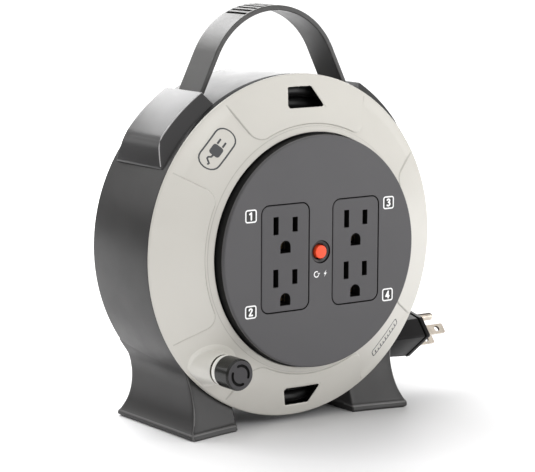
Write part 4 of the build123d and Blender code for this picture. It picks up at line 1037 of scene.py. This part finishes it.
def blend_normals(mesh):
    """Shades a foot's outer side so that it runs on from the band's without a crease."""
    normals = [n.vector.copy() for n in mesh.corner_normals]
    for face in mesh.polygons:
        x, _, z = drum_point(face.center)
        out = Vector((x, 0, z)).normalized()
        if z < -74 or face.normal.dot(out) < 0.6:
            continue
        for corner in face.loop_indices:
            x, _, z = drum_point(mesh.vertices[mesh.loops[corner].vertex_index].co)
            share, round_normal = smooth((-60.5 - z) / 13), Vector((x, 0, z)).normalized()
            normals[corner] = (normals[corner] * share + round_normal * (1 - share)).normalized()
    mesh.normals_split_custom_set(normals)


def make_shoulder(side, name):
    rows, base = 90, BAND_R_FRONT - 0.3
    rings = []
    for i in range(rows + 1):
        degrees = SHOULDER_END + (SHOULDER_FOOT - SHOULDER_END) * i / rows
        share = (degrees - SHOULDER_FOOT) / (SHOULDER_KINK + 0.6 - SHOULDER_FOOT)
        ramp = min(1.0, share) - 0.08 * math.exp(-(10 * (share - 1)) ** 2 / 2)
        top = BAND_R_FRONT + SHOULDER_LIP + (SHOULDER_R - BAND_R_FRONT - SHOULDER_LIP) * ramp
        share = (top - base) / (SHOULDER_R - base)
        front = SHOULDER_BASE[0] + (SHOULDER_TOP[0] - SHOULDER_BASE[0]) * share
        back = SHOULDER_BASE[1] + (SHOULDER_TOP[1] - SHOULDER_BASE[1]) * share
        corner = min(0.9, (top - base) * 0.45)
        section = rounded([(base, SHOULDER_BASE[0]), (top, front), (top, back), (base, SHOULDER_BASE[1])],
                          [0, corner, corner, 0], 4)
        pull = 0.35 if i in (0, rows) else 0.0
        drawn_in = [(r - pull if r > base + 0.2 else r, y + (pull if y < MID_DEPTH else -pull))
                    for r, y in section]
        rings.append(shoulder_ring(degrees, drawn_in, side))
        if i == 0:
            rings.append(shoulder_ring(SHOULDER_END - 0.25, section, side))
    node = name.replace("_cap", "")
    cap = build(name, lofted(rings), "housing", SHOULDER, [node], sharp=32)

    def front_edge(x, y, z):
        radius, degrees = to_polar(abs(x), z)
        outermost = radius > edge_radius(degrees) - 0.55
        return y < SHOULDER_TOP[0] + 0.7 and outermost and degrees > SHOULDER_FOOT + 0.6

    # painted highlight along the shoulder's outer front edge
    paint(cap, EDGE, front_edge)
    # painted shade on the end face at the seam with the band
    return paint(cap, SHADE, lambda x, y, z: to_polar(abs(x), z)[1] < SHOULDER_FOOT + 0.08)


def edge_radius(degrees):
    """Radius of the shoulder's outer face."""
    share = min(1.0, (degrees - SHOULDER_FOOT) / (SHOULDER_KINK + 0.6 - SHOULDER_FOOT))
    return BAND_R_FRONT + SHOULDER_LIP + (SHOULDER_R - BAND_R_FRONT - SHOULDER_LIP) * share


def shoulder_ring(degrees, section, side):
    ring = []
    for r, y in section:
        x, z = polar(r, degrees)
        ring.append((x * side, y, z))
    return ring


def strap_line():
    """Centre line of the strap's outer surface in the front view, left end to right end."""
    centre, steps = HANDLE_TOP - HANDLE_BEND_R, 60
    a = math.radians(HANDLE_BEND_HALF)
    leg = []
    for k in range(1, 9):
        t = HANDLE_LEG * k / 8
        leg.append((HANDLE_BEND_R * math.sin(a) + t * math.cos(a),
                    centre + HANDLE_BEND_R * math.cos(a) - t * math.sin(a)))
    turns = [-a + 2 * a * k / steps for k in range(steps + 1)]
    bend = [(HANDLE_BEND_R * math.sin(b), centre + HANDLE_BEND_R * math.cos(b)) for b in turns]
    return [(-x, z) for x, z in leg[::-1]] + bend + leg


def make_strap():
    line = strap_line()
    half = HANDLE_WIDTH / 2
    section = rounded([(0, -half), (0, half), (-HANDLE_THICK, half), (-HANDLE_THICK, -half)], 0.75, 4)
    rings = []
    for i, (x, z) in enumerate(line):
        a, b = Vector(line[max(0, i - 1)]), Vector(line[min(len(line) - 1, i + 1)])
        along = (b - a).normalized()
        out = Vector((-along.y, along.x))
        rings.append([(x + out.x * n, MID_DEPTH + w, z + out.y * n) for n, w in section])
    strap = build("strap", lofted(rings))
    cutters = []
    for k in range(GROOVES):
        lean = math.radians((k - (GROOVES - 1) / 2) * GROOVE_PITCH)
        x, z = HANDLE_BEND_R * math.sin(lean), HANDLE_TOP - HANDLE_BEND_R + HANDLE_BEND_R * math.cos(lean)
        bar = prism(rounded_box(1.9, 1.8, 0.2, 2), MID_DEPTH - half + 1.75, MID_DEPTH + half - 1.75)
        groove = build("groove_cutter", bar)
        tilt = Matrix.Rotation(lean, 4, "Y") @ Matrix.Translation(-at(0, 0, 0))
        groove.data.transform(Matrix.Translation(at(x, 0, z)) @ tilt)
        cutters.append(groove)
    carve(strap, cutters)
    soften(strap, 0.2, 2, 50, 35)
    dress(strap, "housing", STRAP, ["carry_handle"])

    def in_groove(x, y, z):
        deep = HANDLE_BEND_R - math.hypot(x, z - HANDLE_TOP + HANDLE_BEND_R)
        return 0.12 < deep < 1.4 and abs(y - MID_DEPTH) < half - 1.6 and z > HANDLE_TOP - 8

    # painted shade in the grip grooves
    return paint(strap, SHADE, in_groove)


# ---- plug ----
def plug_point(x, across, up):
    """Point at x along the plug; across runs from one blade to the other, up towards the ground pin."""
    c, s = math.cos(PLUG_ROLL), math.sin(PLUG_ROLL)
    return x, MID_DEPTH + across * c + up * s, EXIT_Z - across * s + up * c


PLUG_SECTION = [(-13.0, -10.4), (13.0, -10.4), (13.0, 2.4), (4.8, 12.8), (-4.8, 12.8), (-13.0, 2.4)]


def plug_ring(x, scale, corner):
    outline = rounded([(a * scale, b * scale) for a, b in PLUG_SECTION], corner, 4)
    return [plug_point(x, a, b) for a, b in outline]


def make_plug():
    face = PLUG_FACE_X
    # place along the cord, scale of the section and radius of its corners
    stations = [(PLUG_BACK_X, 0.64, 1.5), (PLUG_BACK_X + 0.5, 0.69, 1.4), (PLUG_BACK_X + 2.2, 0.79, 1.2),
                (PLUG_BACK_X + 6, 0.88, 1.1), (face - 4.2, 0.965, 1.0), (face - 3.8, 0.955, 1.0),
                (face - 3.6, 0.915, 1.0), (face - 3.0, 0.915, 1.0), (face - 2.8, 0.985, 1.1),
                (face - 2.5, 1.0, 1.2), (face - 0.5, 1.0, 1.2), (face - 0.12, 0.985, 1.1), (face, 0.955, 1.0)]
    rings = [plug_ring(*station) for station in stations]
    plug = build("plug_grip", lofted(rings), "housing", PLUG, ["plug_body"], sharp=28)
    # painted shade in the groove round the grip near its face
    paint(plug, SHADE, lambda x, y, z: face - 3.9 < x < face - 2.75)
    pin = from_node("plug_ground_pin", "ground_pin", "housing", BLADE, 0.2, 2, 30)
    top = plug_point(0, 0, 8.3)[2] + 1.75
    # painted dark reflection on the upper side of the ground pin
    paint(pin, PLUG_REFLECTION, lambda x, y, z: z > top)
    for name in ("plug_blade_neutral", "plug_blade_line"):
        metal_name = name.replace("plug_", "") + "_metal"
        blade = from_node(name, metal_name, "housing", BLADE, 0.12, 2, 40)
        paint(blade, PLUG_REFLECTION, on_blade_edge)


def on_blade_edge(x, y, z):
    """Narrow sides of the blades and the wall of their holes, which get a painted dark reflection of the plug."""
    up = (y - MID_DEPTH) * math.sin(PLUG_ROLL) + (z - EXIT_Z) * math.cos(PLUG_ROLL) + 3.6
    from_hole = math.hypot(x - PLUG_FACE_X - 17.0 + 5.3, up)
    return up > 2.98 or x > PLUG_FACE_X + 16.85 or from_hole < 1.75


def cut_back(obj, profile, material):
    """Takes a body turned about the drum's axis out of a piece."""
    carve(obj, [build("turned_cutter", turned(profile, steps=240))])
    shade(obj.data, 35)
    dress(obj, None, material)


def make_small_parts():
    """CAD shapes with rounded edges, without the cover's feet and with room for the winding."""
    plate = from_node("back_cover", "back_plate", "housing", HOUSING, 0.25, 2, 35)
    cut_back(plate, [(95.2, 75), (140, 75), (140, 100), (95.2, 100)], HOUSING)
    from_node("back_cover_screws", "back_screws", "housing", STEEL, 0.1, 2, 35)
    eye = from_node("cord_guide", "cord_eye", "housing", BEZEL, 0.3, 2, 35)
    cut_back(eye, [(60, 40), (91.0, 40), (91.0, 70), (60, 70)], BEZEL)
    from_node("plug_strain_relief", "plug_sleeve", "housing", PLUG, 0.2, 2, 35)


make_camera()
make_floor()
make_lights()
dress_cad_nodes()
coil, lead = make_cords()
make_ring()
make_knob_boss()
make_panel()
make_inserts()
make_breaker()
make_numbers()
make_reset_mark()
make_ring_marks()
make_knob()
make_housing()
make_shoulder(1, "shoulder_right_cap")
make_shoulder(-1, "shoulder_left_cap")
make_strap()
make_plug()
make_small_parts()

scene = bpy.context.scene
scene.view_settings.view_transform = "Standard"
